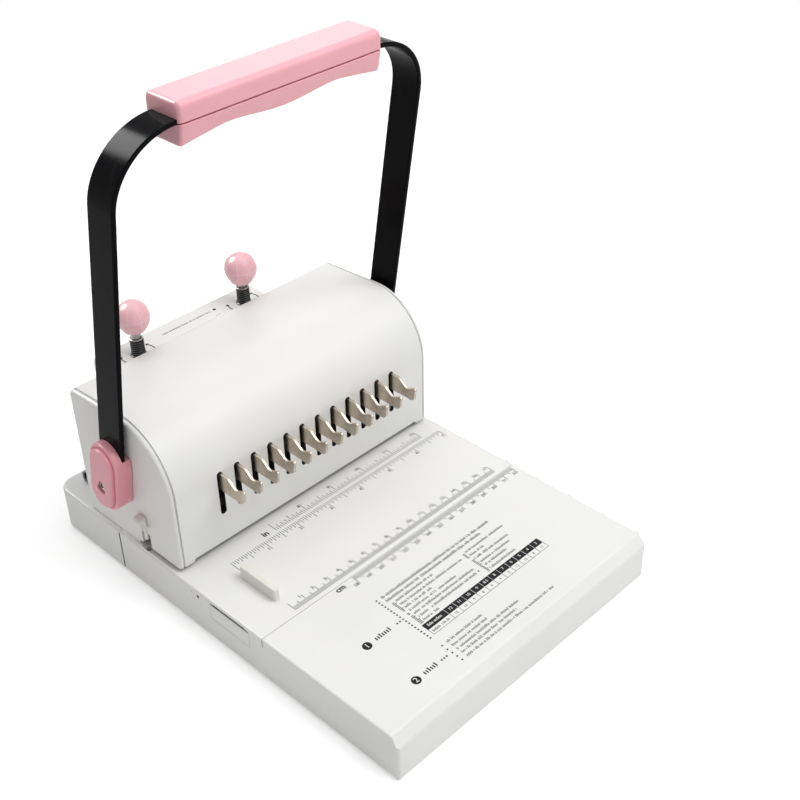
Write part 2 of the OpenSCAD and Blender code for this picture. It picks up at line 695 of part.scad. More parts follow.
module grip_upper() color(pink) difference() {
    along_x(-grip_l / 2, grip_l / 2) intersection() {
        rr(grip_y - grip_d / 2, grip_y + grip_d / 2, part_z - 10, strap_z + grip_up, grip_r);
        translate([grip_y - grip_d, part_z + part_gap / 2]) square([2 * grip_d, 40]);
    }
    strap_way();
}
module grip_lower() color(pink) difference() {
    intersection() {
        along_x(-grip_l / 2, grip_l / 2) polygon([[grip_y - grip_d / 2, part_z - part_gap / 2],
            [grip_y + grip_d / 2, part_z - part_gap / 2],
            [grip_y + grip_d / 2 - 2.5, strap_z - grip_down], [grip_y - grip_d / 2 + 2.5, strap_z - grip_down]]);
        translate([0, grip_y + grip_d, 0]) rotate([90, 0, 0]) linear_extrude(2 * grip_d)
            polygon(concat([[grip_l / 2, strap_z], [-grip_l / 2, strap_z]],
                [for (k = [-24 : 24]) let (x = k / 24 * grip_l / 2) [x, strap_z - grip_down + under(x)]]));
    }
    strap_way();
}
module stadium(d) {
    translate([shaft_y, shaft_z]) rotate(lean_a) {
        translate([d - cover_r, -cover_dn]) square([2 * (cover_r - d), cover_up + cover_dn]);
        translate([0, -cover_dn]) circle(cover_r - d);
        translate([0, cover_up]) circle(cover_r - d);
    }
}
module pivot_cover() difference() {
    union() {
        along_x(cover_x0, cover_x1) stadium(0);
        along_x(cover_x1 - eps, cover_x1 + face_h) stadium(face_b);
    }
    along_x(strap_x, strap_x + strap_t) union() {
        leg2d();
        translate([shaft_y, shaft_z]) circle(shaft_r);
    }
    // the flanges beside the strap end lower than the outer wall
    bx(cover_x0 - 1, strap_x + strap_t, shaft_y - 2 * cover_r, shaft_y + 2 * cover_r, shaft_z + flange_up,
        shaft_z + cover_up + 2 * cover_r);
    rod_x_(cover_x0 - 1, shaft_x, shaft_y, shaft_z, shaft_r);
    rod_x_(shaft_x - 1, screw_x + 1, shaft_y, shaft_z, shank_r);
    rod_x_(screw_x, cover_x1 + 5, shaft_y, shaft_z, head_r + 0.4);
}
module right_pivot_cover() color(pink) pivot_cover();
module left_pivot_cover() color(pink) mirror([1, 0, 0]) pivot_cover();
module pivot_screw() {
    rod_x_(screw_x, screw_x + head_h, shaft_y, shaft_z, head_r);
    rod_x_(shaft_x - 8, screw_x + eps, shaft_y, shaft_z, shank_r);
}
module right_pivot_screw() color(zinc) pivot_screw();
module left_pivot_screw() color(zinc) mirror([1, 0, 0]) pivot_screw();
module shaft() color(steel) difference() {
    rod_x_(-shaft_x, shaft_x, shaft_y, shaft_z, shaft_r);
    both() rod_x_(shaft_x - 8, shaft_x + 1, shaft_y, shaft_z, shank_r);
}
module pinion() difference() {
    along_x(rack_x0, rack_x1) translate([shaft_y, shaft_z]) polygon([for (i = [0 : gear_n - 1])
        for (q = [[-1.25, -1], [0, -1], [0.8, -1], [0.8, 1], [0, 1], [-1.25, 1]])
            let (r = gear_r + q[0] * gear_m, h = tooth_h - q[0] * gear_m * tan(20),
                a = 180 + 360 * i / gear_n + q[1] * h / r * 180 / PI) [r * cos(a), r * sin(a)]]);
    rod_x_(0, frame_x1, shaft_y, shaft_z, shaft_r);
}
module right_pinion() color(steel) pinion();
module left_pinion() color(steel) mirror([1, 0, 0]) pinion();

module rack() {
    step = PI * gear_m;
    along_x(rack_x0, rack_x1) polygon(concat([[bar_y0 + 2, bar_z], [pitch_y - 1.25 * gear_m, bar_z]],
        [for (k = [-3 : 5]) for (q = [[-1.25, -1], [0.8, -1], [0.8, 1], [-1.25, 1]])
            [pitch_y + q[0] * gear_m, shaft_z + (k + 0.5) * step + q[1] * (tooth_h - q[0] * gear_m * tan(20))]],
        [[pitch_y - 1.25 * gear_m, shaft_z + 23], [bar_y0 + 2, shaft_z + 23]]));
}
module right_rack() color(steel) rack();
module left_rack() color(steel) mirror([1, 0, 0]) rack();
module punch_bar() color(steel) difference() {
    bx(-bar_x, bar_x, bar_y0, bar_y1, bar_z, bar_z1);
    for (s = [-1, 1]) rod_z_(bar_z - 1, bar_z1 + 1, s * rod_x, die_y, rod_r + rod_c);
}
module punches() color(zinc)
    for (i = [0 : hook_n - 1]) bx(row(i) - punch_w / 2, row(i) + punch_w / 2, die_y - punch_d / 2,
        die_y + punch_d / 2, tip_z, bar_z);
module hook_bar() color(steel) {
    bx(row(0) - 5, row(hook_n - 1) + 5, hook_bar_y, hook_bar_y + hook_bar_t, bar_z1 - 6, hook_z1);
    for (x = [row(0) + 6.35, row(hook_n - 1) - 6.35])
        bx(x - 4, x + 4, hook_bar_y + hook_bar_t - eps, bar_y0, bar_z1 - 6, bar_z1);
}
module hooks() color(steel)
    for (i = [0 : hook_n - 1]) along_x(row(i) - hook_t / 2, row(i) + hook_t / 2)
        polygon([[hook_bar_y, hook_z0], [hook_bar_y, hook_z1], [hook_y + 14.2, hook_z1 - 0.4],
            [hook_y + 8.6, hook_z1 - 4.9], [hook_y + 6.8, hook_z1 - 5.3], [hook_y + 2.4, hook_z1 - 3.2],
            [hook_y + 0.8, hook_z1 - 2.6], [hook_y, hook_z1 - 3.2], [hook_y + 0.6, hook_z1 - 4.6],
            [hook_y + 1.3, hook_z0 + 1.2], [hook_y + 2.6, hook_z0 + 0.2], [hook_y + 4.4, hook_z0 - 0.6],
            [hook_y + 6.9, hook_z0]]);
module crimp_yoke() color(dark) {
    for (s = [-1, 1]) bx(s * (crimp_x - 2.5) - 1.5, s * (crimp_x - 2.5) + 1.5, bar_y1, crimp_y + eps,
        bar_z + 1, bar_z + 1 + arm_h);
    bx(-crimp_x, crimp_x, crimp_y, crimp_y + crimp_d, bar_z - 4, bar_z + 1 + arm_h);
}
// Round wire wound from za to zb
module coil(x, za, zb) {
    per = 8;
    m = 6;
    n = spring_n * per;
    pts = [for (k = [0 : n]) let (a = 360 * k / per, z = za + spring_wire + (zb - za - 2 * spring_wire) * k / n)
        for (j = [0 : m - 1]) let (b = 360 * j / m, r = spring_r + spring_wire * cos(b))
            [x + r * cos(a), die_y + r * sin(a), z + spring_wire * sin(b)]];
    quads = [for (k = [0 : n - 1], j = [0 : m - 1])
        [k * m + j, k * m + (j + 1) % m, (k + 1) * m + (j + 1) % m, (k + 1) * m + j]];
    polyhedron(points = pts, faces = concat([[for (j = [0 : m - 1]) m - 1 - j]], quads,
        [[for (j = [0 : m - 1]) n * m + j]]), convexity = 10);
    echo(str("gap between curls ", (zb - za - 2 * spring_wire) / spring_n - 2 * spring_wire, " mm"));
}
module left_spring() color(zinc) coil(-rod_x, strip_z, bar_z);
module right_spring() color(zinc) coil(rod_x, strip_z, bar_z);

module pin(x, gap) {
    rod_z_(hood_z - 24, sleeve_z + gap + 4, x, knob_y, pin_r);
}
// Ball with a tapered foot
module knob(x, gap) {
    zb = sleeve_z + gap;
    zc = zb + knob_h - knob_r;
    ba = 38;
    translate([x, knob_y, 0]) difference() {
        rotate_extrude() polygon(concat([[0, zb], [knob_foot, zb]],
            [for (a = [-ba : 6 : 88]) [knob_r * cos(a), zc + knob_r * sin(a)]], [[0, zb + knob_h]]));
        translate([0, 0, zb - 1]) cylinder(h = 5, r = pin_r);
    }
}
module left_pin() color(zinc) pin(knob_xl, knob_gap_l);
module right_pin() color(zinc) pin(knob_xr, knob_gap_r);
module left_knob() color(pink) knob(knob_xl, knob_gap_l);
module right_knob() color(pink) knob(knob_xr, knob_gap_r);

front_base();
deck_panel();
bottom_plate();
rubber_feet();
left_frame();
right_frame();
left_bush();
right_bush();
die_plate();
stripper_plate();
guide_rods();
left_cap();
right_cap();
main_cover();
rear_panel();
crimp_hood();
crimp_anvil();
left_sleeve();
right_sleeve();
chip_drawer();
edge_guide();
guide_extension();
alignment_peg();
strap();
grip_upper();
grip_lower();
left_pivot_cover();
right_pivot_cover();
left_pivot_screw();
right_pivot_screw();
shaft();
left_pinion();
right_pinion();
punch_bar();
punches();
left_rack();
right_rack();
hook_bar();
hooks();
crimp_yoke();
left_spring();
right_spring();
left_pin();
left_knob();
right_pin();
right_knob();
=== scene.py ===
"""Table-top punch and wire binding machine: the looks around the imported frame.

Lengths are in millimetres in the frame's axes: X right along the hooks, Y to the back, Z up.
put() turns them into metres. New shapes are numpy grids, or profiles carried along a path.
"""

import json

import bmesh
import bpy
import numpy as np
from mathutils import Matrix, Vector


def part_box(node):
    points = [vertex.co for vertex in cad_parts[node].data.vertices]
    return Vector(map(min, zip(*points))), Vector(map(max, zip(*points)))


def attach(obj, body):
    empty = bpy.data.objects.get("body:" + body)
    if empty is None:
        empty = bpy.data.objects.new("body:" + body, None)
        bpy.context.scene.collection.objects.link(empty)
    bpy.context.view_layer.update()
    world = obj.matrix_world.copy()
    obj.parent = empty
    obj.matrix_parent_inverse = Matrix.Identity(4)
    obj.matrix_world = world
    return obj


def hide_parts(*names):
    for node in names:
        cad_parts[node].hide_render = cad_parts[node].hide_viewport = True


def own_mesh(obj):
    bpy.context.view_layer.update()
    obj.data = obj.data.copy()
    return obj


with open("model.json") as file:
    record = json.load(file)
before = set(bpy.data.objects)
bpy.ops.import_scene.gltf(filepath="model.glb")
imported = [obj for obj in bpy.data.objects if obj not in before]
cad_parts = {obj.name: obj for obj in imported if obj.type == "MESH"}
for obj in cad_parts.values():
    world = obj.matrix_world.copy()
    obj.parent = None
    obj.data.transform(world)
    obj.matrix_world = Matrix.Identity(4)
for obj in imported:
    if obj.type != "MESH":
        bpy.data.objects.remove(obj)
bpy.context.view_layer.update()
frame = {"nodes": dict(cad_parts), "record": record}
nodes = frame["nodes"]
MM = 0.001


def span(node):
    """Lowest and highest corner of a CAD node, in millimetres."""
    return [np.array(corner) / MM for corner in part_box(node)]


def centre(node):
    """Middle of a CAD node's box, in millimetres."""
    lo, hi = span(node)
    return (lo + hi) / 2


# ---- places taken from the frame
BASE_LO, BASE_HI = span("front_base")
DECK, DRAWER_SEAM = BASE_HI[2], BASE_HI[1]
COVER_LO, COVER_HI = span("main_cover")
COVER_X, FRONT, REAR, TOP = COVER_HI[0], COVER_LO[1], COVER_HI[1], COVER_HI[2]
CAP_X = span("right_cap")[1][0]
SHAFT_Y, SHAFT_Z = centre("shaft")[1:]
STRAP_TOP = span("strap")[1][2]
GRIP_Y = (span("grip_lower")[0][1] + span("grip_upper")[1][1]) / 2
HOOK_LO, HOOK_HI = span("hooks")
ROW_X = centre("hooks")[0]
HOOD_LO, HOOD_HI = span("crimp_hood")
HOOD = HOOD_HI[2]

# ---- sizes that the boxes don't give: walls, caps, strap, pivot covers and hooks
WALL, ROOF = 2.4, DECK + 3.0
SHOULDER_R, CREST_R, TOP_DROP = 40.0, 4.5, 2.6
BEAD_W, GROOVE_W, GROOVE_D, BEAD_R = 2.4, 1.2, 1.4, 2.2
STOP_Y, NOTCH_Y, NOTCH_H = 66.0, (54.0, 62.5), 13.0
PEG_SLOT_Y, PEG_SLOT_Z = (56.1, 59.9), 56.8
STRAP_T, STRAP_W, STRAP_R, STRAP_LEAN_X = 3.0, 21.0, 40.0, 1.5
STRAP_X = span("strap")[1][0] - STRAP_T
LEG_Z, FLANGE_Z = SHAFT_Z + 34.6, SHAFT_Z + 21.0
LEAN = (SHAFT_Y - GRIP_Y) / (STRAP_TOP - STRAP_T / 2 - SHAFT_Z)
PIVOT_R, PIVOT_UP, PIVOT_DN = 12.8, 18.0, 4.9
HOOK_N, PITCH, HOOK_T, HOOK_SIDE = 12, 12.7, 1.7, 0.65


# ---- finishes
class Wire:
    """An output socket of a shader tree. Arithmetic with numbers or other wires adds Math nodes."""

    def __init__(self, tree, socket):
        self.tree, self.socket = tree, socket

    def node(self, kind, settings=None, inputs=None, out=0):
        """Adds one node: its settings first, then the values or wires of its sockets; gives one output."""
        made = self.tree.nodes.new(kind)
        for key, value in (settings or {}).items():
            setattr(made, key, value)
        for key, value in (inputs or {}).items():
            if isinstance(value, Wire):
                self.tree.links.new(value.socket, made.inputs[key])
            else:
                made.inputs[key].default_value = value
        return Wire(self.tree, made.outputs[out])

    def math(self, operation, a, b, clamp=False):
        """One Math node on two numbers or wires."""
        return self.node("ShaderNodeMath", {"operation": operation, "use_clamp": clamp}, {0: a, 1: b})

    def __add__(self, other):
        return self.math("ADD", self, other)

    def __sub__(self, other):
        return self.math("SUBTRACT", self, other)

    def __mul__(self, other):
        return self.math("MULTIPLY", self, other)

    __radd__ = __add__

    def above(self, level, width):
        """0 below level, 1 above level + width, straight between them."""
        return self.math("MULTIPLY", self - level, 1.0 / width, clamp=True)

    def mix(self, low, high):
        """Colour low where this wire is 0, high where it is 1."""
        return self.node("ShaderNodeMix", {"data_type": "RGBA"}, {0: self, 6: low, 7: high}, out=2)

    def noise(self, size, detail, stretch=(1.0, 1.0, 1.0), rough=0.5):
        """Noise whose grains are about size millimetres across, drawn out by stretch."""
        drawn_out = {"Vector": self, "Scale": tuple(1.0 / s for s in stretch)}
        return self.node("ShaderNodeTexNoise", None, {
            "Vector": self.node("ShaderNodeMapping", None, drawn_out), "Scale": 1.0 / (size * MM),
            "Detail": detail, "Roughness": rough})

    def bump(self, depth, strength):
        """Normal of a surface raised by this wire times depth millimetres."""
        return self.node("ShaderNodeBump", None, {"Height": self, "Distance": depth * MM, "Strength": strength})

    def marks(self):
        """The piece's own marks, as put() sets them."""
        return self.node("ShaderNodeAttribute", {"attribute_name": "marks"}, out=2)


def rgb(red, green, blue):
    """An opaque colour of linear light."""
    return (red, green, blue, 1.0)


def surface(name, **fixed):
    """A material with its constant sockets set; gives it, its shader and its object coordinates."""
    made = bpy.data.materials.new(name)
    made.use_nodes = True
    shader = made.node_tree.nodes["Principled BSDF"]
    for key, value in fixed.items():
        shader.inputs[key.replace("_", " ")].default_value = value
    place = made.node_tree.nodes.new("ShaderNodeTexCoord")
    return made, shader, Wire(made.node_tree, place.outputs["Object"])


def feed(shader, **wires):
    """Links wires to sockets; an underscore stands for the space in a socket's name."""
    for key, wire in wires.items():
        wire.tree.links.new(wire.socket, shader.inputs[key.replace("_", " ")])


def moulded(name, colour, shade, rough, grain, depth, wear_and_highlight=None, gloss=0.3):
    """Moulded plastic: slow clouds of tone, an eroded texture of that grain, and sparse rubbed streaks; a second
    colour, a painted highlight, shows where the piece's own marks are 1."""
    made, shader, where = surface(name, Metallic=0.0, Specular_IOR_Level=gloss)
    cloud, texture = where.noise(size=45, detail=2), where.noise(grain, detail=3, rough=0.6)
    streak = where.noise(size=4, detail=4, stretch=(1, 7, 1)).above(level=0.6, width=0.12)
    tone = (cloud.above(level=0.3, width=0.45) * 0.7 + texture * 0.3).mix(colour, shade)
    # Painted highlight where the piece's own marks are 1.
    if wear_and_highlight:
        tone = where.marks().mix(tone, wear_and_highlight)
    feed(shader, Base_Color=tone, Roughness=rough + (texture - 0.5) * 0.14 - streak * 0.04,
         Normal=texture.bump(depth, strength=0.25))
    return made


def enamel(name, colour, wear_and_highlight):
    """Enamel: orange peel in the bump, dust in the roughness, a little wear in the tone."""
    made, shader, where = surface(name, Metallic=0.0, IOR=1.09)
    peel, dust = where.noise(size=2.2, detail=1), where.noise(size=0.6, detail=4)
    scuff = where.noise(size=6, detail=4, stretch=(1, 1, 5)).above(level=0.62, width=0.15)
    feed(shader, Base_Color=(scuff * 0.6 + dust * 0.2).mix(colour, wear_and_highlight),
         Roughness=0.17 + dust.above(level=0.5, width=0.3) * 0.1 + scuff * 0.08,
         Normal=peel.bump(depth=0.03, strength=0.12))
    return made


def metal(name, colour, tarnish, rough, run, amount=0.5, crest=None):
    """Bare or plated metal: brush lines drawn out along run, cloudy tarnish and fine pits; a crest colour, painted
    highlight on thread crests, shows where the piece's own marks are 1."""
    made, shader, where = surface(name, Metallic=1.0)
    lines, cloud = where.noise(size=0.5, detail=3, stretch=run), where.noise(size=7, detail=4)
    pits = where.noise(size=0.35, detail=1).above(level=0.66, width=0.08)
    tone = (cloud.above(level=0.4, width=0.3) * amount + pits * 0.3).mix(colour, tarnish)
    if crest:
        tone = where.marks().mix(tone, crest)
    feed(shader, Base_Color=tone, Roughness=rough + (lines - 0.5) * 0.2 + pits * 0.15,
         Normal=lines.bump(depth=0.02, strength=0.2))
    return made


def ink(name, colour, thin):
    """Screen-printed ink: dense, with a slight speckle where the plastic shows through."""
    made, shader, where = surface(name, Metallic=0.0, Specular_IOR_Level=0.15)
    speckle = where.noise(size=0.25, detail=2)
    feed(shader, Base_Color=speckle.above(level=0.58, width=0.2).mix(colour, thin),
         Roughness=0.5 + speckle * 0.12, Normal=speckle.bump(depth=0.01, strength=0.2))
    return made


# After its two tones, a moulding has its roughness and its texture's grain and depth, and a metal its roughness
# and the run of its brush lines.
WHITE = moulded("white_moulding", rgb(0.83, 0.83, 0.815), rgb(0.79, 0.79, 0.77), 0.42, 0.55, 0.025)
PINK = moulded("pink_moulding", rgb(0.88, 0.44, 0.485), rgb(0.845, 0.4, 0.45), 0.36, 0.7, 0.01, gloss=0.36)
# The pivot covers' pink is a darker copy of the pink moulding: painted shade for the side-facing covers.
SHADED_COVER_PINK = moulded("pink_cover_painted_shade", rgb(0.82, 0.36, 0.405), rgb(0.79, 0.33, 0.375), 0.36, 0.7, 0.01, gloss=0.36)
# The knobs' pink is a lighter copy of the pink moulding: painted light from above. Its second colour on the ribs
# is a painted highlight.
RIBBED_PAINTED_LIGHT = moulded("ribbed_pink_painted_light", rgb(0.93, 0.53, 0.57), rgb(0.9, 0.49, 0.54), 0.34, 0.7, 0.02,
                 wear_and_highlight=rgb(0.95, 0.76, 0.78), gloss=0.6)
CREAM = moulded("cream_moulding", rgb(0.83, 0.815, 0.775), rgb(0.79, 0.77, 0.725), 0.4, 0.5, 0.02)
RUBBER = moulded("foot_rubber", rgb(0.03, 0.03, 0.03), rgb(0.045, 0.044, 0.042), 0.75, 0.4, 0.06)
BLACK = enamel("black_enamel", rgb(0.004, 0.004, 0.005), rgb(0.012, 0.011, 0.013))
NICKEL = metal("nickel_plate", rgb(0.62, 0.55, 0.46), rgb(0.4, 0.34, 0.27), 0.36, (1, 1, 9))
STEEL = metal("rolled_steel", rgb(0.56, 0.56, 0.55), rgb(0.4, 0.39, 0.37), 0.34, (9, 1, 1))
BRIGHT = metal("bright_zinc", rgb(0.8, 0.8, 0.8), rgb(0.6, 0.6, 0.58), 0.18, (1, 1, 6), amount=0.3)
DARK = metal("phosphated_steel", rgb(0.12, 0.12, 0.115), rgb(0.07, 0.066, 0.06), 0.48, (8, 1, 1))
BRONZE = metal("sintered_bronze", rgb(0.62, 0.43, 0.2), rgb(0.4, 0.26, 0.12), 0.4, (1, 1, 1))
# The thread's crest colour is a painted highlight on the thread crests; the sleeve's top rim and bore take the
# same colour.
THREAD = metal("blackened_thread", rgb(0.012, 0.012, 0.013), rgb(0.006, 0.006, 0.006), 0.3, (1, 1, 1),
               crest=rgb(0.16, 0.16, 0.16))
DULL = metal("dull_zinc", rgb(0.36, 0.35, 0.33), rgb(0.22, 0.21, 0.19), 0.3, (1, 1, 5))
INK = ink("black_print", rgb(0.008, 0.008, 0.01), rgb(0.03, 0.03, 0.03))
GREY_INK = ink("fine_print", rgb(0.03, 0.03, 0.033), rgb(0.08, 0.08, 0.08))
LINE_INK = ink("rule_print", rgb(0.015, 0.015, 0.017), rgb(0.05, 0.05, 0.05))
PALE_INK = ink("white_print", rgb(0.83, 0.83, 0.82), rgb(0.72, 0.72, 0.71))

SLOT_FINISH = {"white_plastic": WHITE, "pink_plastic": PINK, "black_metal": BLACK, "dark_steel": DARK,
               "nickel": NICKEL, "steel": STEEL, "bright_metal": BRIGHT, "rubber": RUBBER, "bronze": BRONZE}
RECORD = frame["record"]
SLOT_OF = {part["node"]: part["material_slot"] for part in RECORD["subparts"]}
BODY_OF = {node: body for body, members in RECORD["behaviour"]["bodies"].items() for node in members}


# ---- pieces
def linked(name, data):
    """A new object of that data, in the scene."""
    made = bpy.data.objects.new(name, data)
    bpy.context.scene.collection.objects.link(made)
    return made


def paint(piece, finish):
    """Gives a piece that finish alone."""
    piece.data.materials.clear()
    piece.data.materials.append(finish)


def put(name, points, faces, node=None, finish=None, slot="white_plastic", crease=35.0, closed=True, marks=None):
    """Makes a piece of points in millimetres, its shading creased past an angle. It takes the place of a CAD node
    or rides on the base. Marks are a number for each point, which its finish may read."""
    same_point, no_length = 1e-7, 1e-8
    body, slot = (BODY_OF[node], SLOT_OF[node]) if node else ("base", slot)
    mesh = bpy.data.meshes.new(name)
    mesh.from_pydata((points.reshape(-1, 3) * MM).tolist(), [], faces)
    if marks is not None:
        values = np.ravel(marks).astype(np.float32)
        mesh.attributes.new("marks", "FLOAT", "POINT").data.foreach_set("value", values)
    if closed:
        shell = bmesh.new()
        shell.from_mesh(mesh)
        bmesh.ops.remove_doubles(shell, verts=shell.verts, dist=same_point)
        bmesh.ops.dissolve_degenerate(shell, edges=shell.edges, dist=no_length)
        bmesh.ops.recalc_face_normals(shell, faces=shell.faces)
        shell.to_mesh(mesh)
        shell.free()
    mesh.shade_smooth()
    mesh.set_sharp_from_angle(angle=np.radians(crease))
    piece = linked(name, mesh)
    if closed:
        piece.modifiers.new("even_shading", "WEIGHTED_NORMAL").keep_sharp = True
    paint(piece, finish or SLOT_FINISH[slot])
    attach(piece, body)
    if node:
        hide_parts(node)
    return piece


def column(items, key, wide, kind=float):
    """One attribute of a mesh's points, edges or faces, a row for each."""
    flat = np.empty(len(items) * wide, kind)
    items.foreach_get(key, flat)
    return flat.reshape(-1, wide)


def outer_edges(start, end):
    """How much of the round an edge of a base part gets: all of it outside on the top, the lower rim, the front
    bevel and the upright front corners, and half of it where the drawer meets the base."""
    half, front, back, corner = BASE_HI[0], BASE_LO[1], span("chip_drawer")[1][1], 10.6
    near, still, bevel_y, seam_y = 0.05, 0.01, 6.5, 1

    def outside(p):
        past = np.maximum(np.stack([np.abs(p[:, 0]) - half + corner, p[:, 1] - back + corner], -1), 0)
        return (np.abs(np.hypot(*past.T) - corner) < near) | (np.abs(p[:, 1] - front) < near)

    run = np.abs(end - start)
    level, upright = run[:, 2] < still, np.hypot(run[:, 0], run[:, 1]) < still
    outer = outside(start) & outside(end) & outside((start + end) / 2)
    top_or_rim = level & ((start[:, 2] > DECK - near) | (start[:, 2] < BASE_LO[2] + near))
    along_front = level & (run[:, 1] < still) & (start[:, 1] < front + bevel_y)
    corners = ~level & (~upright | (start[:, 1] < front + near))
    drawer = upright & outer & (np.abs(start[:, 1] - DRAWER_SEAM) < seam_y)
    return np.where(along_front | (outer & (top_or_rim | corners)), 1.0, drawer * 0.5)


def softened(node, radius=0.0):
    """A copy of a CAD node: triangles merged, flat faces made whole, and its outer edges rounded by radius."""
    same_point, (same_plane, least_turn, crease) = 2e-6, np.radians([0.4, 25, 32])
    mesh = nodes[node].data.copy()
    shell = bmesh.new()
    shell.from_mesh(mesh)
    bmesh.ops.remove_doubles(shell, verts=shell.verts, dist=same_point)
    bmesh.ops.dissolve_limit(shell, angle_limit=same_plane, verts=shell.verts, edges=shell.edges)
    turn = np.array([edge.calc_face_angle_signed(0.0) for edge in shell.edges])
    shell.to_mesh(mesh)
    shell.free()
    mesh.normals_split_custom_set([(0.0, 0.0, 0.0)] * len(mesh.loops))
    mesh.shade_smooth()
    mesh.set_sharp_from_angle(angle=crease)
    piece = linked(node + "_moulded", mesh)
    if radius:
        points, ends = column(mesh.vertices, "co", 3), column(mesh.edges, "vertices", 2, np.int32)
        start, end = (points[ends] / MM).transpose(1, 0, 2)
        weights = (outer_edges(start, end) * (turn > least_turn)).astype(np.float32)
        mesh.attributes.new("bevel_weight_edge", "FLOAT", "EDGE").data.foreach_set("value", weights)
        edge = piece.modifiers.new("rounded_edges", "BEVEL")
        edge.width, edge.segments, edge.limit_method = radius * MM, 4, "WEIGHT"
        edge.use_clamp_overlap, edge.loop_slide = False, False
    piece.modifiers.new("even_shading", "WEIGHTED_NORMAL").keep_sharp = True
    paint(piece, SLOT_FINISH[SLOT_OF[node]])
    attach(piece, BODY_OF[node])
    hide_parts(node)
    return piece


def slot_walls(piece, finish):
    """Painted shade in the hooks' slots: gives the walls of the slots that finish, faces within the row that don't
    look forward.
    """
    faces, beside, low = piece.data.polygons, 4, 8
    x, y, z = (column(faces, "center", 3) / MM).T
    inside = (np.abs(column(faces, "normal", 3)[:, 1]) < 0.5) & (y < FRONT + WALL + 1)
    inside &= (z < HOOK_HI[2] + beside) & (z > ROOF + low) & (np.abs(x - ROW_X) < HOOK_HI[0] - ROW_X + beside)
    piece.data.materials.append(finish)
    faces.foreach_set("material_index", inside.astype(np.int32))


# ---- building blocks of the shapes
def full_turn(count):
    """Angles round a circle in equal steps, without the last one."""
    return np.linspace(0, 2 * np.pi, count, endpoint=False)


def rays(angle):
    """Flat unit vectors at those angles."""
    return np.stack([np.cos(angle), np.sin(angle)], -1)


def unit(vectors):
    """The same directions at length 1."""
    return vectors / np.linalg.norm(vectors, axis=-1, keepdims=True)


def edge_round(radius, count):
    """Quarter round of an edge: how far each of its points lies under the top and inside the side."""
    turn = np.linspace(0, np.pi / 2, count)
    return radius * (1 - np.sin(turn)), radius * (1 - np.cos(turn))


def end_rounds(lo, hi, radius, count, inner=()):
    """Stations from lo to hi with a quarter round at both ends, and how far the section is drawn in at each."""
    drawn, along = edge_round(radius, count)
    at = np.concatenate([lo + along, inner, hi - along[::-1]])
    return at, np.concatenate([drawn, np.zeros(len(inner)), drawn[::-1]])


def turned(x, y, z, radius, angle):
    """Points at a radius and angle about the upright line through x, y, at height z."""
    return np.stack(np.broadcast_arrays(x + radius * np.cos(angle), y + radius * np.sin(angle), z), -1)


def quads(rows, cols, ring=False):
    """Faces of a grid of rows × cols points; ring closes it across its columns."""
    i, j = np.arange(rows - 1)[:, None], np.arange(cols if ring else cols - 1)[None, :]
    k = (j + 1) % cols
    faces = np.stack([i * cols + j, i * cols + k, (i + 1) * cols + k, (i + 1) * cols + j], -1)
    return faces.reshape(-1, 4).tolist()


def loft(rings):
    """Closed body through rings of equal count: quads between neighbours and one face on each end."""
    count, wide = rings.shape[:2]
    ends = [list(range(wide)), list(range((count - 1) * wide, count * wide))]
    return rings.reshape(-1, 3), quads(count, wide, ring=True) + ends


def stacked(levels, axis):
    """Closed body through flat outlines, each given with its place on the axis across them."""
    return loft(np.stack([np.insert(outline, axis, at, axis=1) for at, outline in levels]))


def filleted(corners, radius, steps=5):
    """Closed outline whose corners are cut back by their radius and bridged by a parabola."""
    corners = np.asarray(corners, float)
    radius = np.broadcast_to(radius, corners.shape[:-1])
    most = 0.49

    def toward(other):
        way = other - corners
        length = np.linalg.norm(way, axis=-1)
        return corners + way * (np.minimum(radius, most * length) / length)[..., None]

    start, end = toward(np.roll(corners, 1, -2)), toward(np.roll(corners, -1, -2))
    s = np.linspace(0, 1, steps + 1)[:, None]
    arc = (1 - s) ** 2 * start[..., None, :] + 2 * s * (1 - s) * corners[..., None, :] + s ** 2 * end[..., None, :]
    return arc.reshape(*corners.shape[:-2], -1, 2)


def four_sided(left, right, low, high, taper=0.0):
    """Corners of a row of sections from arrays of their sides; taper draws the lower side in."""
    low, high = low + 0 * left, high + 0 * left
    return np.stack([np.stack([left + taper, low], -1), np.stack([right - taper, low], -1),
                     np.stack([right, high], -1), np.stack([left, high], -1)], 1)


def repeated(points, faces, offsets):
    """The same body at each offset, as one set of points and faces."""
    count = len(points)
    every = (points + np.array(offsets)[:, None]).reshape(-1, 3)
    return every, [[k + n * count for k in face] for n in range(len(offsets)) for face in faces]


def joined(*parts):
    """Several sets of points and faces as one."""
    points, faces, start = [], [], 0
    for part_points, part_faces in parts:
        points.append(part_points)
        faces += [[k + start for k in face] for face in part_faces]
        start += len(part_points)
    return np.concatenate(points), faces


def bar(lo, hi, along, radii, end_r, steps=6):
    """Block with rounded edges: a section with its own round at each corner, carried along one axis and drawn in
    at both ends by the end round; its lower side stays level."""
    at, inset = end_rounds(lo[along], hi[along], end_r, steps)
    i, j = [k for k in range(3) if k != along]
    ring = filleted(four_sided(lo[i] + inset, hi[i] - inset, lo[j], hi[j] - inset), radii, steps)
    return loft(np.insert(ring, along, at[:, None], axis=-1))


def pin(x, y, z0, z1, r):
    """Upright pin with rounded ends: circles stacked up a profile of radius over height."""
    edge, part = 0.4, 0.3 * 0.4
    z = np.array([z0, z0 + part, z0 + edge, z1 - edge, z1 - part, z1])
    radius = np.array([r - edge, r - part, r, r, r - part, r - edge])
    return loft(turned(x, y, z[:, None], radius[:, None], full_turn(28)))


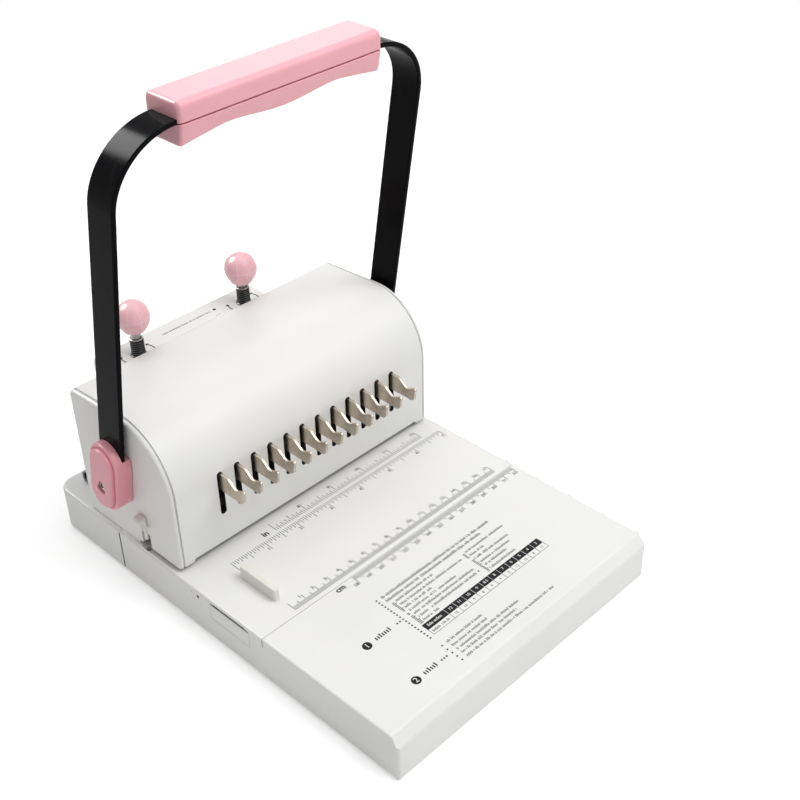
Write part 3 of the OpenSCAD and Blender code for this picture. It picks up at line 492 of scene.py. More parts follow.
# ---- shapes of the machine
def end_cap(side, name):
    """End cap: a section of rim, groove and rounded bead carried along the housing's outline, closed by a
    side wall whose lower edge has the paper throat, the notch and, on the left, the peg's slot."""
    round_n, crest_n, foot, bead_top, bead_side = 49, 13, DECK + 0.5, 0.25, 0.5
    slope = np.arctan(TOP_DROP / (REAR - CREST_R - FRONT - SHOULDER_R))
    shoulder = np.array([FRONT + SHOULDER_R, TOP - SHOULDER_R])
    crest = np.array([REAR - CREST_R, shoulder[1] + (SHOULDER_R - CREST_R) / np.cos(slope)
                      - (REAR - CREST_R - shoulder[0]) * np.tan(slope)])
    turn = np.concatenate([[np.pi], np.linspace(np.pi, np.pi / 2 - slope, round_n),
                           np.linspace(np.pi / 2 - slope, 0, crest_n), [0.0]])
    normal = rays(turn)
    line = np.concatenate([[[FRONT, ROOF]], shoulder + SHOULDER_R * normal[1:round_n + 1],
                           crest + CREST_R * normal[round_n + 1:-1], [[REAR, foot]]])
    groove = CAP_X - BEAD_W - GROOVE_W
    under, inside = edge_round(BEAD_R, 7)
    section = np.concatenate([
        [[CAP_X - WALL, WALL], [COVER_X, WALL], [COVER_X, 0], [groove, 0], [groove, GROOVE_D],
         [CAP_X - BEAD_W, GROOVE_D], [CAP_X - BEAD_W, bead_side]],
        np.stack([CAP_X - under, bead_top + inside], -1)])
    rings = np.empty((len(line), len(section), 3))
    rings[..., 0] = side * section[:, 0]
    rings[..., 1:] = line[:, None] - normal[:, None] * section[None, :, 1:]
    notch = DECK + NOTCH_H
    lower = [[DRAWER_SEAM, foot], [DRAWER_SEAM, DECK], [STOP_Y, DECK], [STOP_Y, ROOF], [NOTCH_Y[1], ROOF],
             [NOTCH_Y[1], notch]]
    if side < 0:
        lower += [[PEG_SLOT_Y[1], notch], [PEG_SLOT_Y[1], PEG_SLOT_Z], [PEG_SLOT_Y[0], PEG_SLOT_Z],
                  [PEG_SLOT_Y[0], notch]]
    lower = np.array(lower + [[NOTCH_Y[0], notch], [NOTCH_Y[0], ROOF]])
    count, wide = rings.shape[:2]
    walls = [np.insert(lower, 0, side * x, axis=1) for x in (CAP_X, CAP_X - WALL)]
    points = np.concatenate([rings.reshape(-1, 3), *walls])
    outer = count * wide + np.arange(len(lower))
    inner = outer + len(lower)
    rim_in = np.arange(count) * wide
    rim_out = rim_in + wide - 1
    edge_out = np.concatenate([[rim_out[-1]], outer, [rim_out[0]]])
    edge_in = np.concatenate([[rim_in[-1]], inner, [rim_in[0]]])
    faces = quads(count, wide) + [rim_out.tolist() + outer.tolist(), rim_in.tolist() + inner.tolist(),
                                  list(range(wide)), list(range((count - 1) * wide, count * wide))]
    faces += np.stack([edge_out[:-1], edge_out[1:], edge_in[1:], edge_in[:-1]], -1).tolist()
    put(name + "_moulded", points, faces, name, crease=28)


def strap_piece():
    """Strap: a flat bar with rounded edges carried along foot, leaning leg, bend and top; the legs lean towards
    the grip, so a point's Y follows its own Z."""
    mid_r, bend_z = STRAP_R - STRAP_T / 2, STRAP_TOP - STRAP_R
    bend_x = STRAP_X - STRAP_LEAN_X + STRAP_T - STRAP_R
    foot_x, foot_dn, foot_up, edge_r = STRAP_X + STRAP_T / 2, 8, 14, 0.9
    turn, rise = np.linspace(0, np.pi / 2, 33), np.linspace(0, 1, 9)[1:-1]
    foot = [[foot_x, SHAFT_Z - foot_dn], [foot_x, SHAFT_Z + foot_up], [foot_x, LEG_Z]]
    leg = np.stack([foot_x + (bend_x + mid_r - foot_x) * rise, LEG_Z + (bend_z - LEG_Z) * rise], -1)
    half = np.concatenate([foot, leg, [bend_x, bend_z] + mid_r * rays(turn)])
    line = np.concatenate([half, half[::-1] * [-1, 1]])
    way = np.gradient(line, axis=0)
    out = unit(way)[:, ::-1] * [1, -1]
    t, w = STRAP_T / 2, STRAP_W / 2
    section = filleted([[-t, -w], [t, -w], [t, w], [-t, w]], edge_r, 4)
    place = line[:, None] + out[:, None] * section[None, :, :1]
    lean_y = SHAFT_Y - (place[..., 1] - SHAFT_Z) * LEAN + section[None, :, 1]
    rings = np.stack([place[..., 0], lean_y, place[..., 1]], -1)
    put("strap_bar", *loft(rings), "strap", crease=40)


def grip_half(name, node):
    """Half of the grip: a rounded section carried along X, drawn in at both ends by the end round; the lower
    half's underside has two finger scoops and a belly between them."""
    longer, nearer, deeper, end_r, seam, crown = 1.7, 0.5, 2.2, 2.2, 0.25, 0.4
    (x0, y0, _), (x1, y1, _) = span("grip_upper")
    x0, x1, y0, y1 = x0 - longer, x1 + longer, y0 - nearer, y1 + deeper
    z0, z1 = span(node)[0][2], span(node)[1][2]
    x, inset = end_rounds(x0, x1, end_r, 7, np.linspace(x0 + end_r, x1 - end_r, 97)[1:-1])
    if node == "grip_lower":
        scoop_x, scoop_h, belly_h, taper, radii = 38.0, 3.9, 1.2, 2.5, (2.4, 2.4, 0.6, 0.6)
        far = np.abs(x)
        ramp = np.clip((x1 - far) / (x1 - scoop_x), 0, 1)
        rise = np.where(far > scoop_x,
                        scoop_h * (0.75 * ramp + 0.25 * np.sin(np.pi / 2 * ramp)),
                        belly_h + (scoop_h - belly_h) * (0.5 - 0.5 * np.cos(np.pi * far / scoop_x)))
        low, high = z0 + rise + inset, z1 - seam
    else:
        taper, radii = 0.0, (0.6, 0.6, 4.2, 4.2)
        low, high = z0 + seam, z1 + crown - inset
    ring = filleted(four_sided(y0 + inset, y1 - inset, low, high, taper), radii)
    put(name, *loft(np.insert(ring, 0, x[:, None], axis=-1)), node, crease=40)


def stadium(inset):
    """Pivot cover's outline set in by inset: two half rounds on the strap's lean, as points of Y and Z."""
    a, r = np.linspace(0, np.pi, 33), PIVOT_R - inset
    beside = np.concatenate([r * np.cos(a), -r * np.cos(a)])
    along = np.concatenate([PIVOT_UP + r * np.sin(a), -PIVOT_DN - r * np.sin(a)])
    c, s = np.cos(np.arctan(LEAN)), np.sin(np.arctan(LEAN))
    return np.stack([SHAFT_Y + c * beside - s * along, SHAFT_Z + s * beside + c * along], -1)


def pivot_cover(side, name):
    """Pivot cover: rings of the stadium outline, low flanges beside the strap, a rounded border, a channel and
    a raised face with the screw's recess in it."""
    x0, face = np.sort(np.abs([span(name)[0][0], span(name)[1][0]]))
    rim, strap_out, hole, border_r, face_r, face_in = face - 2.2, STRAP_X + STRAP_T, 4.3, 1.3, 0.9, 2.8
    low = stadium(0)
    low[:, 1] = np.minimum(low[:, 1], FLANGE_Z)
    steps = [(strap_out, 0)] + [(rim - under, inside) for under, inside in zip(*edge_round(border_r, 6))]
    steps += [(rim, 1.9), (rim - 0.5, 2.1), (rim - 0.5, 2.6), (face - 1.0, 2.75)]
    steps += [(face - under, face_in + inside) for under, inside in zip(*edge_round(face_r, 6))][1:]
    rings = [(x0, low), (strap_out, low)] + [(x, stadium(inset)) for x, inset in steps]
    shaft = np.array([SHAFT_Y, SHAFT_Z])
    circle = unit(stadium(4.0) - shaft)
    rings += [(face - deep, shaft + circle * r) for deep, r in
              ((0, hole + 0.35), (0.12, hole + 0.1), (0.4, hole), (3.2, hole))]
    body = stacked([(side * x, outline) for x, outline in rings], 0)
    put(name + "_moulded", *body, name, SHADED_COVER_PINK, crease=38)


def cross_head(head_r, dome, arm, reach, deep):
    """Pan head with a cross recess: a polar grid whose height is a dome less a cross of sloping walls, and a
    skirt; its axes are height and the two across it."""
    skew, wall, skirt = 0.5, 0.3, 3.0
    r, a = np.meshgrid(np.linspace(0.0, head_r, 40), full_turn(96), indexing="ij")
    u, v = r * np.cos(a + skew), r * np.sin(a + skew)
    less, more = np.sort(np.abs([u, v]), axis=0)
    across = np.maximum(less - arm, more - reach)
    part = r / head_r
    height = dome * (1 - 0.35 * part ** 2 - 0.45 * part ** 8) - deep * np.clip(-across / wall, 0, 1)
    top = np.stack([height, u, v], -1)
    return np.concatenate([top[-1:] * [0, 1, 1] - [skirt, 0, 0], top[::-1]])


def pivot_screw(side, name):
    """Cross-headed screw in the pivot cover's recess."""
    dome = 2.2
    head = cross_head(head_r=3.9, dome=dome, arm=0.75, reach=2.7, deep=2.0)
    rings = (head + [np.abs(span(name)).max() - dome, SHAFT_Y, SHAFT_Z]) * [side, 1, 1]
    put(name + "_cross", *loft(rings), name, DULL, crease=30)


def rear_screws():
    """Small cross-headed screws that hold the rear panel and the hood's back wall."""
    head = loft(cross_head(head_r=2.8, dome=1.5, arm=0.5, reach=1.9, deep=1.2)[..., [1, 0, 2]])
    inset, panel_drops, hood_drop = 9, (10, 34), 12
    (left, _, _), (right, back, top) = span("rear_panel")
    places = [[x, back, top - drop] for x in (left + inset, right - inset) for drop in panel_drops]
    places += [[x, HOOD_HI[1], HOOD - hood_drop] for x in (HOOD_LO[0] + inset, HOOD_HI[0] - inset)]
    put("rear_panel_screws", *repeated(*head, places), slot="bright_metal", crease=30)


def knob(name, node):
    """Ball knob: radius over height and angle. The ball runs into a short tapered foot; a rib rings its widest
    line, and ribs run up the ball and down the foot to a smooth crown."""
    (x0, _, z0), (x1, _, z1) = span(node)
    r, foot_r, rib_h, rib_share = (x1 - x0) / 2 + 0.35, 7.4, 0.28, 0.55
    ribs, rib_skew, rib_w, ring_w, crown = 8, 0.5, 0.13, 0.36, 0.74
    mid, foot = z1 - r, np.array([[1.6, 0.5], [0.5, 0.0], [0.15, -0.15], [0.0, -0.5]])
    up = np.linspace(np.pi / 2, -np.radians(27), 60)
    z = np.concatenate([mid + r * np.sin(up), z0 + foot[:, 0]])
    radius = np.concatenate([r * np.cos(up), foot_r + foot[:, 1]])
    a = full_turn(144)
    ring = np.exp(-((z - mid) / ring_w) ** 2)
    reach = np.clip((mid + crown * r - z) / 1.2, 0, 1) * np.clip((z - z0 - 0.9) / 0.8, 0, 1)
    rib = np.exp(-(np.sin(ribs / 2 * a + rib_skew) / rib_w) ** 2)
    marks = np.maximum(ring[:, None], rib[None] * reach[:, None])
    full = np.maximum(radius - rib_h, 0)[:, None] + rib_h * marks
    grid = turned(*centre(node)[:2], z[:, None], full, a)
    # The rib marks carry the finish's painted highlight on the ribs.
    put(name, *loft(grid), node, RIBBED_PAINTED_LIGHT, crease=60, marks=marks * rib_share)


def sleeve(name, node):
    """Threaded sleeve: radius is a helix of crests over angle and height, flared at the foot, with a rim and a
    bore at the top."""
    top = span(node)[1][2]
    r, bore, pitch, deep, sunk, run_out, flare_h = 4.4, 3.15, 1.5, 0.55, 3, 1.2, 0.8
    a, z = full_turn(48), np.linspace(HOOD - sunk, top - 0.5, 130)
    crest = np.abs(2 * ((z[:, None] / pitch - a[None] / (2 * np.pi)) % 1.0) - 1)
    flare = np.exp(-np.clip(z - HOOD, 0, None) / flare_h)
    radius = r - deep * crest * np.clip((top - z) / run_out, 0, 1)[:, None] + flare[:, None]
    rim = np.array([[top - 0.2, r - 0.1], [top, r - 0.4], [top, bore], [top - 4.0, bore - 0.03]])
    radius = np.concatenate([radius, np.broadcast_to(rim[:, 1:], (len(rim), len(a)))])
    # Marks of 1 on the thread crests, where the finish paints a highlight, and on the top rim and bore.
    marks = np.concatenate([np.clip(1 - 2.4 * crest, 0, 1), np.ones((len(rim), len(a)))])
    grid = turned(*centre(node)[:2], np.concatenate([z, rim[:, 0]])[:, None], radius, a)
    put(name, *loft(grid), node, THREAD, crease=50, marks=marks)


def collar(name, node):
    """Bright washer on top of a sleeve: a small rounded ring."""
    ring_r, half_w, half_h, lift = 3.75, 0.6, 0.42, 0.1
    a, t = np.meshgrid(np.linspace(0, 2 * np.pi, 49), full_turn(12), indexing="ij")
    z = span(node)[1][2] + lift + half_h * np.sin(t)
    grid = turned(*centre(node)[:2], z, ring_r + half_w * np.cos(t), a)
    put(name, grid, quads(*grid.shape[:2], ring=True), finish=DULL, slot="bright_metal", crease=80)


def hook_row():
    """Row of hooks: one plate's rounded profile, its rims drawn in by the edge round, repeated at the pitch."""
    tip, high, low, back = HOOK_LO[1], HOOK_HI[2], HOOK_LO[2] + 0.6, HOOK_HI[1]
    upper = [[14.2, -0.4], [8.6, -4.9], [6.8, -5.3], [2.4, -3.2], [0.8, -2.6], [0.0, -3.2], [0.6, -4.6]]
    lower = [[1.3, 1.2], [2.6, 0.2], [4.4, -0.6], [6.9, 0.0]]
    corners = np.concatenate([[[back, low], [back, high]], np.add([tip, high], upper), np.add([tip, low], lower)])
    radii = [0.1, 0.1, 1.2, 1.5, 1.2, 1.0, 0.5, 0.5, 0.8, 0.5, 0.4, 0.6, 1.5]
    profile = filleted(corners, radii, 4)
    way = np.roll(profile, -1, 0) - np.roll(profile, 1, 0)
    inward = unit(way)[:, ::-1] * [1, -1]
    half, edge, knee = HOOK_T / 2, 0.28, 0.09
    steps = [(-half, edge), (-half + knee, knee), (-half + edge, 0.0)]
    stations = steps + [(-x, drawn) for x, drawn in steps[::-1]]
    plate = stacked([(x, profile + inward * drawn) for x, drawn in stations], 0)
    offsets = np.zeros((HOOK_N, 3))
    offsets[:, 0] = ROW_X + HOOK_SIDE + (np.arange(HOOK_N) - (HOOK_N - 1) / 2) * PITCH
    put("hook_plates", *repeated(*plate, offsets), "hooks", crease=40)


def hood_piece():
    """Hood over the crimper: round-cornered outlines stacked up the hollow and then up the outside, drawn in over
    the top edge's round."""
    (x0, y0, z0), (x1, y1, z1) = HOOD_LO, HOOD_HI
    corner, sharp, edge = 4.0, 0.05, 1.8

    def outline(inset):
        return filleted([[x0 + inset, y0], [x1 - inset, y0], [x1 - inset, y1 - inset], [x0 + inset, y1 - inset]],
                        [sharp, sharp, corner, corner], 8)

    levels = [(z1 - WALL, WALL), (z0, WALL), (z0, 0)]
    levels += [(z1 - under, inside) for under, inside in zip(*edge_round(edge, 7))]
    shell = stacked([(z, outline(inset)) for z, inset in levels], 2)
    put("hood_shell", *shell, "crimp_hood")


def guide_piece():
    """Edge guide: a bar with a rounded top on two locating pins."""
    lo, hi = span("edge_guide")
    pin_in, pin_r, into_bar = 6, 1.5, 1
    body = bar([lo[0], lo[1], DECK], hi, 1, [0.15, 0.15, 0.8, 0.8], end_r=1.0)
    pins = [pin((lo[0] + hi[0]) / 2, y, lo[2], DECK + into_bar, pin_r) for y in (lo[1] + pin_in, hi[1] - pin_in)]
    put("guide_bar", *joined(body, *pins), "edge_guide", CREAM)


def peg_piece():
    """Alignment peg: a thumb button with a rounded top, its web and keeper through the cap, and the peg below."""
    lo, hi = span("alignment_peg")
    y, top, inner = (lo[1] + hi[1]) / 2, hi[2], WALL - CAP_X
    half, web_half, keeper_half, peg_r = (hi[1] - lo[1]) / 2 - 0.2, 1.5, 4, 1.5
    web_lo, web_hi, peg_x, peg_low = top - 6.8, top - 0.8, -CAP_X + 0.5, lo[2] + 4.0
    button = bar([lo[0], y - half, top - 2 * half], [-CAP_X - 0.3, y + half, top], 1, [1.0, 0.1, 0.1, 3.2], 1.1)
    web = bar([-CAP_X - 0.4, y - web_half, web_lo], [inner + 0.6, y + web_half, web_hi], 0, [0.1] * 4, 0.1)
    keeper = bar([inner + 0.2, y - keeper_half, web_lo], [hi[0], y + keeper_half, web_hi], 0, [0.5] * 4, 0.3)
    stem = pin(peg_x, y, peg_low, top - half, peg_r)
    put("peg_button", *joined(button, web, keeper, stem), "alignment_peg", CREAM)


def edge_nubs():
    """Catches along the base's sides: flat ellipsoid bumps, half sunk in the wall, over longitude and latitude."""
    u, v = np.meshgrid(np.linspace(-np.pi / 2, np.pi / 2, 9), full_turn(16), indexing="ij")
    long, tall, first, pitch, count = 1.9, 1.7, 7.5, 25.4, 6
    right_z, left_z, left_y, smaller = DECK - 1.6, DECK - 4.2, (15.0, -40.2), [0.5, 0.55, 1]
    shape = np.stack([np.cos(u) * np.cos(v), long * np.sin(u), tall * np.cos(u) * np.sin(v)], -1)
    right = [[BASE_HI[0], BASE_LO[1] + first + pitch * k, right_z] for k in range(count)]
    left = [[BASE_LO[0], y, left_z] for y in left_y]
    near, far = repeated(*loft(shape * smaller), left), repeated(*loft(shape), right)
    put("side_catches", *joined(near, far), crease=80)


def left_marks():
    """Painted shade on the base's left side, dark marks where there is only shade: the mouth of a small hole as a
    flat round, the deck seam's open end, the gap over the extension's flap and the drawer's seam as slim bars."""
    wall, seam = BASE_LO[0], span("deck_panel")[0][1]
    (_, flap_front, _), (_, flap_back, flap_top) = span("guide_extension")
    hole_y, hole_z, hole = 8.6, 26.5, np.array([[0.6, 1.1], [0.0, 1.1], [-0.05, 1.0], [-0.08, 0.7]])
    mouth = turned(hole_y, hole_z, wall + hole[:, :1], hole[:, 1:], full_turn(24))[..., [2, 0, 1]]

    def slit(y0, y1, z0, z1, along):
        return bar([wall - 0.05, y0, z0], [wall + 0.5, y1, z1], along, [0.02] * 4, end_r=0.02, steps=3)

    slits = [slit(seam - 0.45, seam + 0.05, DECK - 6.0, DECK - 1.2, 2),
             slit(flap_front + 1, flap_back, flap_top + 0.07, flap_top + 0.27, 1),
             slit(DRAWER_SEAM - 0.1, DRAWER_SEAM + 0.35, 2.5, DECK - 1.6, 2)]
    # The dark rubber finish on these marks is painted shade.
    put("side_gap_painted_shade", *joined(loft(mouth), *slits), finish=RUBBER)


def return_spring(name, node):
    """Return spring: a round wire wound six times round its rod, between the node's lower and upper face."""
    (x0, _, z0), (x1, _, z1) = span(node)
    wire, turns, per_turn = 0.6, 6, 32
    x, y, _ = centre(node)
    a = np.linspace(0, 2 * np.pi * turns, per_turn * turns + 1)[:, None]
    b = full_turn(12)
    out = (x1 - x0) / 2 - wire + wire * np.cos(b)
    z = z0 + wire + (z1 - z0 - 2 * wire) * a / a[-1] + wire * np.sin(b)
    piece = put(name, *loft(turned(x, y, z, out, a)), node)
    slide = next(j for j in RECORD["behaviour"]["joints"] if j["name"] == "carriage_slide")
    keep = 1 - slide["range_m"][1] / MM / (z1 - z0)
    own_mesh(piece)


# ---- print
INK_UP = 0.04


def printed(name, finish, *parts):
    """One piece of ink from several sets of points and faces."""
    put(name, *joined(*parts), finish=finish, crease=20, closed=False)


def slab(outline, level):
    """Thin closed sheet of ink with that outline, from just inside the plastic to a hair above it."""
    return stacked([(level + up, outline) for up in (-INK_UP, INK_UP)], 2)


def slabs(x0, x1, y0, y1, level):
    """Thin closed boxes of ink from arrays of their sides."""
    x0, x1, y0, y1 = (np.ravel(v) for v in np.broadcast_arrays(x0, x1, y0, y1))
    x = np.stack([x0, x1, x1, x0] * 2, -1)
    y = np.stack([y0, y0, y1, y1] * 2, -1)
    z = np.broadcast_to(level + np.array([-INK_UP] * 4 + [INK_UP] * 4), x.shape)
    box = np.array([[3, 2, 1, 0], [4, 5, 6, 7], [0, 1, 5, 4], [1, 2, 6, 5], [2, 3, 7, 6], [3, 0, 4, 7]])
    faces = np.arange(len(x))[:, None, None] * len(x[0]) + box
    return np.stack([x, y, z], -1).reshape(-1, 3), faces.reshape(-1, 4).tolist()


def discs(places, r, level, count=28):
    """Thin closed discs of ink at places of X and Y."""
    disc = slab(rays(full_turn(count)) * r, level)
    return repeated(*disc, [(x, y, 0.0) for x, y in places])


def figures(labels, level, bold=0.0):
    """Numbers as thin solids, swelled by bold: each label has its text, place, cap height and alignment."""
    cap_share, made = 0.73, []
    for text, x, y, height, side in labels:
        curve = bpy.data.curves.new("figure", "FONT")
        curve.body, curve.size, curve.align_x, curve.align_y = text, height / cap_share, side, "CENTER"
        curve.extrude, curve.resolution_u, curve.offset = INK_UP, 3, bold
        holder = linked("figure", curve)
        shape = bpy.data.meshes.new_from_object(holder.evaluated_get(bpy.context.evaluated_depsgraph_get()))
        made.append((column(shape.vertices, "co", 3) + [x, y, level],
                     [list(face.vertices) for face in shape.polygons]))
        bpy.data.objects.remove(holder)
        bpy.data.curves.remove(curve)
        bpy.data.meshes.remove(shape)
    return made


def word_strokes(lines, height, seed, level=DECK, gaps=0.13, upright=False, pitch=0.35):
    """Lines of stand-in text from start to end: strokes of two heights in words, with gaps between them, and no
    letters; upright lines run along Y."""
    luck, step, parts = np.random.default_rng(seed), height * pitch, []
    tall_from, tall, short, drop = 0.72, 0.62, 0.36, 0.33
    for start, end, line in lines:
        count = int((end - start) / step)
        at = start + step * np.arange(count)
        word = np.cumsum(luck.random(count) < gaps)
        keep = np.concatenate([[True], word[1:] == word[:-1]])
        top = np.where(luck.random(count) > tall_from, tall, short) * height
        sides = [at[keep], at[keep] + step * 0.5, line - drop * height, line + top[keep]]
        parts.append(slabs(*(sides[2:] + sides[:2] if upright else sides), level))
    return parts


def ruler():
    """Two-row rulers across the deck: whole, half and finer ticks as ink slabs, and their plain numbers."""
    half_w, odd_share, number_h, beside, inch, cm = 0.17, 0.62, 2.5, 0.7, (25.4, 16), (10.0, 10)
    labels, parts = [], []
    # Left end, first and last number, first number shown, base line, reach of the ticks, the numbers' line, unit.
    for x0, first, last, shown, base, (fine, mid, whole), number_y, (unit, division) in (
            (-78.3, 0, 7, 1, 12.5, (-4.2, -6.2, -8.4), 5.6, inch),
            (-40.2, 7, 12, 8, 14.7, (4.2, 6.0, 8.2), 21.8, inch),
            (-78.0, 0, 17, 1, -44.5, (3.2, 5.0, 7.3), -37.9, cm),
            (-38.2, 18, 32, 18, -48.3, (-3.2, -5.0, -7.2), -54.6, cm)):
        k = np.arange((last - first) * division + 1)
        size = np.where(k % division == 0, whole, np.where(k % (division // 2) == 0, mid, fine))
        if unit == inch[0]:
            size = np.where(k % 2 == 1, size * odd_share, size)
        x = x0 + k * unit / division
        parts.append(slabs(x - half_w, x + half_w, np.minimum(base, base + size), np.maximum(base, base + size),
                           DECK))
        labels += [(str(n), x0 + (n - first) * unit - beside, number_y, number_h, "RIGHT")
                   for n in range(shown, last + 1)]
    printed("ruler_ticks", LINE_INK, *parts)
    printed("ruler_numbers", INK, *figures(labels, DECK, bold=0.05))


def deck_print():
    """The rest of the deck's print: numbered discs, leader dots, stand-in lines and the size table."""
    column_1 = [(-34.7, end, y) for end, y in (
        (-4.3, -80.5), (16.5, -84.2), (-11.8, -87.7), (4.0, -91.2), (15.3, -94.7), (16.5, -98.3), (-22.0, -102.0))]
    column_2 = [(22.3, end, y) for end, y in (
        (57.0, -81.8), (34.3, -85.7), (52.3, -89.5), (48.2, -93.7), (41.5, -97.3), (45.3, -101.3))]
    below = [(-38.5, end, y) for end, y in (
        (-9.7, -122.8), (-9.7, -126.7), (13.2, -130.3), (7.3, -133.8), (35.7, -137.5))]
    printed("fine_lines", GREY_INK, *word_strokes(column_1, 2.0, seed=1), *word_strokes(column_2, 2.0, seed=2),
            *word_strokes(below, 2.0, seed=3))

    heading = [(-38.5, 53.0, -73.0), (-38.5, 41.5, -76.7)]
    step_1, step_2 = (-70.2, -93.3), (-69.8, -129.7)
    steps = [(-63.5, -51.5, step_1[1]), (-63.5, -52.0, step_2[1])]
    units = [(-103.0, -79.7, -37.2), (-102.5, -81.0, 20.0)]
    dots_x, dots_y = -42.3, np.linspace(-72.5, -114.2, 19)
    leaders = [(x, step_1[1]) for x in (-46.9, -44.7)] + [(x, step_2[1]) for x in (-50.2, -48.2, -46.2)]
    bullets = [(dots_x, y) for _, _, y in below]
    left, right, top, mid, low, rule = -39.0, 60.3, -104.3, -109.3, -114.0, 0.25
    table = np.array([(left, right, mid, top), (left, right, low, low + rule), (left, left + rule, low, mid),
                      (right - rule, right, low, mid)])
    cells = -21.8 + 7.47 * np.arange(11)

    def in_cells(numbers, y, height):
        return [(str(n), x + 3.7, y, height, "CENTER") for n, x in zip(numbers, cells)]

    counts = in_cells((12, 10, 9, 8, 5, 4, 2, 12, 10, 8, 11), -111.6, 1.9)
    sizes = in_cells((12, 11, 10, 9, 8.5, 8, 7, 6, 5, 4, 3), -106.8, 2.1)
    unit_marks = [("in", -49.5, 17.2, 4.4, "LEFT"), ("cm", -52.5, -50.3, 4.0, "LEFT")]
    printed("bold_lines", INK, *word_strokes(heading, 2.3, seed=4),
            *word_strokes(steps, 3.4, seed=5, gaps=0.0, pitch=0.5),
            *word_strokes(units, 2.5, seed=9, upright=True, pitch=0.42),
            discs([(dots_x, y) for y in dots_y], 0.6, DECK, 12), discs(leaders, 0.62, DECK, 12),
            discs(bullets, 0.58, DECK, 12), discs([step_1, step_2], 2.9, DECK),
            slabs(*table.T, DECK), slabs(cells - 0.12, cells + 0.12, low, mid, DECK), *figures(counts, DECK),
            *word_strokes([(-37.5, -24.0, -111.7)], 1.9, seed=6), *figures(unit_marks, DECK, bold=0.18))
    up = DECK + INK_UP
    printed("pale_figures", PALE_INK, *word_strokes([(-36.5, -25.0, -106.9)], 2.0, seed=7, level=up),
            slabs(cells - 0.1, cells + 0.1, mid + 0.1, top - 0.1, up),
            *figures([("1", *step_1, 3.6, "CENTER"), ("2", *step_2, 3.6, "CENTER")], up), *figures(sizes, up))


def turn_arrow(about, start, end):
    """Curved arrow about a knob: an arc of even width with a three-cornered head on its end."""
    radius, half_w, head_half, head_long = 11.0, 0.38, 1.5, 1.9
    ray = rays(np.radians(np.linspace(start, end, 15)))
    stroke = np.concatenate([ray * (radius + half_w), ray[::-1] * (radius - half_w)])
    last = ray[-1]
    tip = np.array([-last[1], last[0]]) * np.sign(end - start) * head_long
    head = np.stack([last * (radius + head_half), last * radius + tip, last * (radius - head_half)])
    return [slab(about + stroke, HOOD), slab(about + head, HOOD)]


def hood_print():
    """On the hood: a stand-in line with its dot, a few small dots, and two turn arrows beside each knob."""
    marks = [*word_strokes([(-26.0, 12.6, 129.1)], 1.7, seed=8, level=HOOD), discs([(15.4, 129.3)], 1.15, HOOD),
             discs([(13.0, 122.4), (14.6, 122.6), (11.4, 122.2)], 0.3, HOOD, 10)]
    for node in ("left_knob", "right_knob"):
        about = centre(node)[:2]
        marks += turn_arrow(about, -14, 24) + turn_arrow(about, 198, 160)
    printed("hood_marks", INK, *marks)


# ---- the machine
end_cap(1, "right_cap")
end_cap(-1, "left_cap")
strap_piece()
grip_half("grip_top", "grip_upper")
grip_half("grip_under", "grip_lower")
for hand, word in ((-1, "left"), (1, "right")):
    pivot_cover(hand, word + "_pivot_cover")
    pivot_screw(hand, word + "_pivot_screw")
    knob(word + "_ball_knob", word + "_knob")
    sleeve(word + "_threaded_sleeve", word + "_sleeve")
    collar(word + "_collar", word + "_sleeve")
hook_row()
ruler()
deck_print()
hood_print()
hood_piece()
guide_piece()
peg_piece()
edge_nubs()
left_marks()
rear_screws()
for node in ("front_base", "deck_panel", "chip_drawer"):
    softened(node, radius=1.5)
# The white cover's slot walls take the dark steel finish as painted shade.
slot_walls(softened("main_cover"), DARK)
return_spring("left_coil", "left_spring")
return_spring("right_coil", "right_spring")

OWN_FINISH = {"left_frame": DARK, "right_frame": DARK, "hook_bar": DARK, "stripper_plate": DARK,
              "left_pin": DULL, "right_pin": DULL}
for node, piece in nodes.items():
    paint(piece, OWN_FINISH.get(node, SLOT_FINISH[SLOT_OF[node]]))


# ---- camera, lamps, sky and floor, in metres
def placed(name, data, matrix):
    """A new object of that data at that place and turn."""
    made = linked(name, data)
    made.matrix_world = matrix
    return made


camera = placed("camera", bpy.data.cameras.new("camera"), Matrix((
    (0.6973, 0.4232, -0.5785, -0.4062), (-0.7165, 0.3884, -0.5795, -0.4598),
    (-0.0206, 0.8186, 0.574, 0.5414), (0, 0, 0, 1))))
camera.data.sensor_width, camera.data.lens, camera.data.clip_start = 36.0, 58.14, 0.01
bpy.context.scene.camera = camera


def softbox(name, place, aim, size, power, card=False):
    """Square lamp at place, facing aim; a card shows in gloss only."""
    lamp = bpy.data.lights.new(name, "AREA")
    lamp.shape, lamp.size, lamp.energy = "SQUARE", size, power
    back = unit(np.array(place, float) - aim)
    right = unit(np.cross((0.0, 0.0, 1.0), back))
    axes = np.column_stack([right, np.cross(back, right), back, place])
    placed(name, lamp, Matrix([list(row) for row in axes] + [[0, 0, 0, 1]])).visible_diffuse = not card


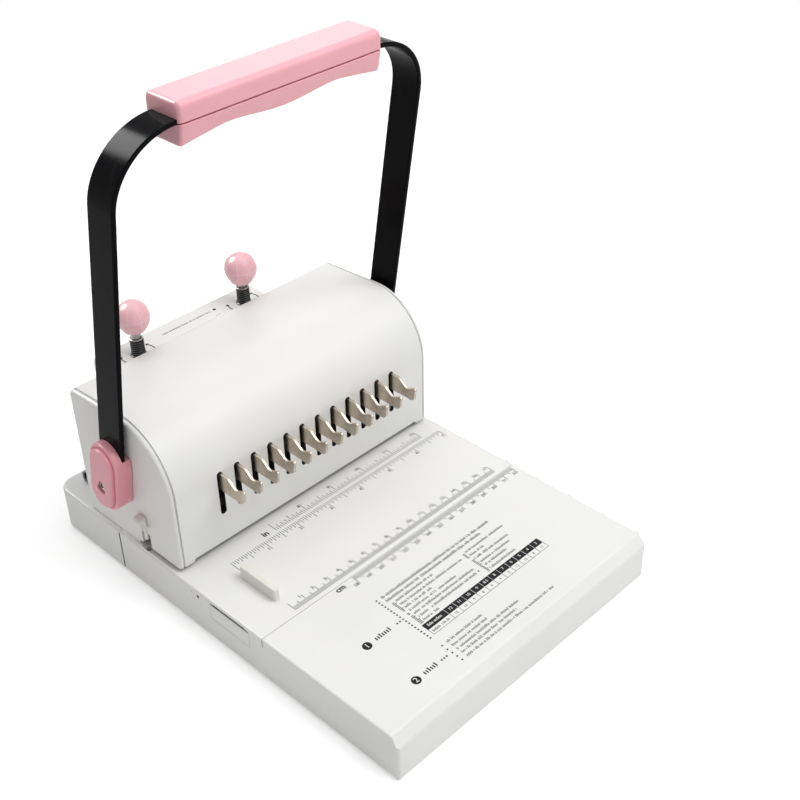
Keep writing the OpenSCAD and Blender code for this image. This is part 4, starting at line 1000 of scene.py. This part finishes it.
softbox("key_lamp", (0.5, -0.8, 1.6), (0.0, 0.0, 0.1), size=1.2, power=20.5)
softbox("top_lamp", (0.0, 0.55, 1.8), (0.0, 0.0, 0.1), size=1.4, power=11.0)
softbox("gloss_card", (-0.41, 1.23, 1.13), (-0.11, 0.05, 0.27), size=0.6, power=38.0, card=True)
softbox("grip_card", (1.08, 1.33, 0.93), (0.0, 0.03, 0.3), size=0.6, power=2.5, card=True)


def straight_rays(tree):
    """1 for camera, mirror and see-through rays, which meet a plain white backdrop, and 0 for all others."""
    path = tree.nodes.new("ShaderNodeLightPath")
    seen, mirror, through = (Wire(tree, path.outputs[f"Is {kind} Ray"]) for kind in
                             ("Camera", "Glossy", "Transmission"))
    return seen.math("MAXIMUM", seen.math("MAXIMUM", seen, mirror), through)


PLAIN_WHITE = rgb(1.0, 1.0, 1.0)
SKY_LIGHT, FLOOR_GLOW = 0.34, 0.35
world = bpy.data.worlds.new("studio")
bpy.context.scene.world = world
world.use_nodes = True
sky = world.node_tree.nodes["Background"]
sky.inputs["Color"].default_value = PLAIN_WHITE
feed(sky, Strength=SKY_LIGHT + straight_rays(world.node_tree) * (1.0 - SKY_LIGHT))

floor_mesh = bpy.data.meshes.new("floor")
floor_mesh.from_pydata([(-6, -6, 0), (6, -6, 0), (6, 6, 0), (-6, 6, 0)], [], [(0, 1, 2, 3)])
floor = placed("floor", floor_mesh, Matrix.Identity(4))
paper, paper_shader, where = surface("pale_paper", Roughness=0.9, Specular_IOR_Level=0.1)
feed(paper_shader, Base_Color=where.noise(size=30, detail=3).mix(rgb(0.9, 0.9, 0.9), rgb(0.88, 0.88, 0.88)))
paint(floor, paper)

# Close to the machine the floor is lit paper with a little glow, and further out it turns plain white.
seen = straight_rays(paper.node_tree)
glow = where.node("ShaderNodeEmission", None, {"Color": PLAIN_WHITE, "Strength": seen * FLOOR_GLOW})
close = where.node("ShaderNodeAddShader", None, {0: glow, 1: Wire(paper.node_tree, paper_shader.outputs[0])})
plain = where.node("ShaderNodeEmission", None, {"Color": PLAIN_WHITE, "Strength": 1.0})
distance = where.node("ShaderNodeVectorMath", {"operation": "LENGTH"}, {0: where}, out=1)
backdrop = where.node("ShaderNodeMixShader", None,
                      {0: distance.above(level=0.6, width=0.5) * seen, 1: close, 2: plain})
feed(paper.node_tree.nodes["Material Output"], Surface=backdrop)

bpy.context.scene.view_settings.view_transform = "Standard"
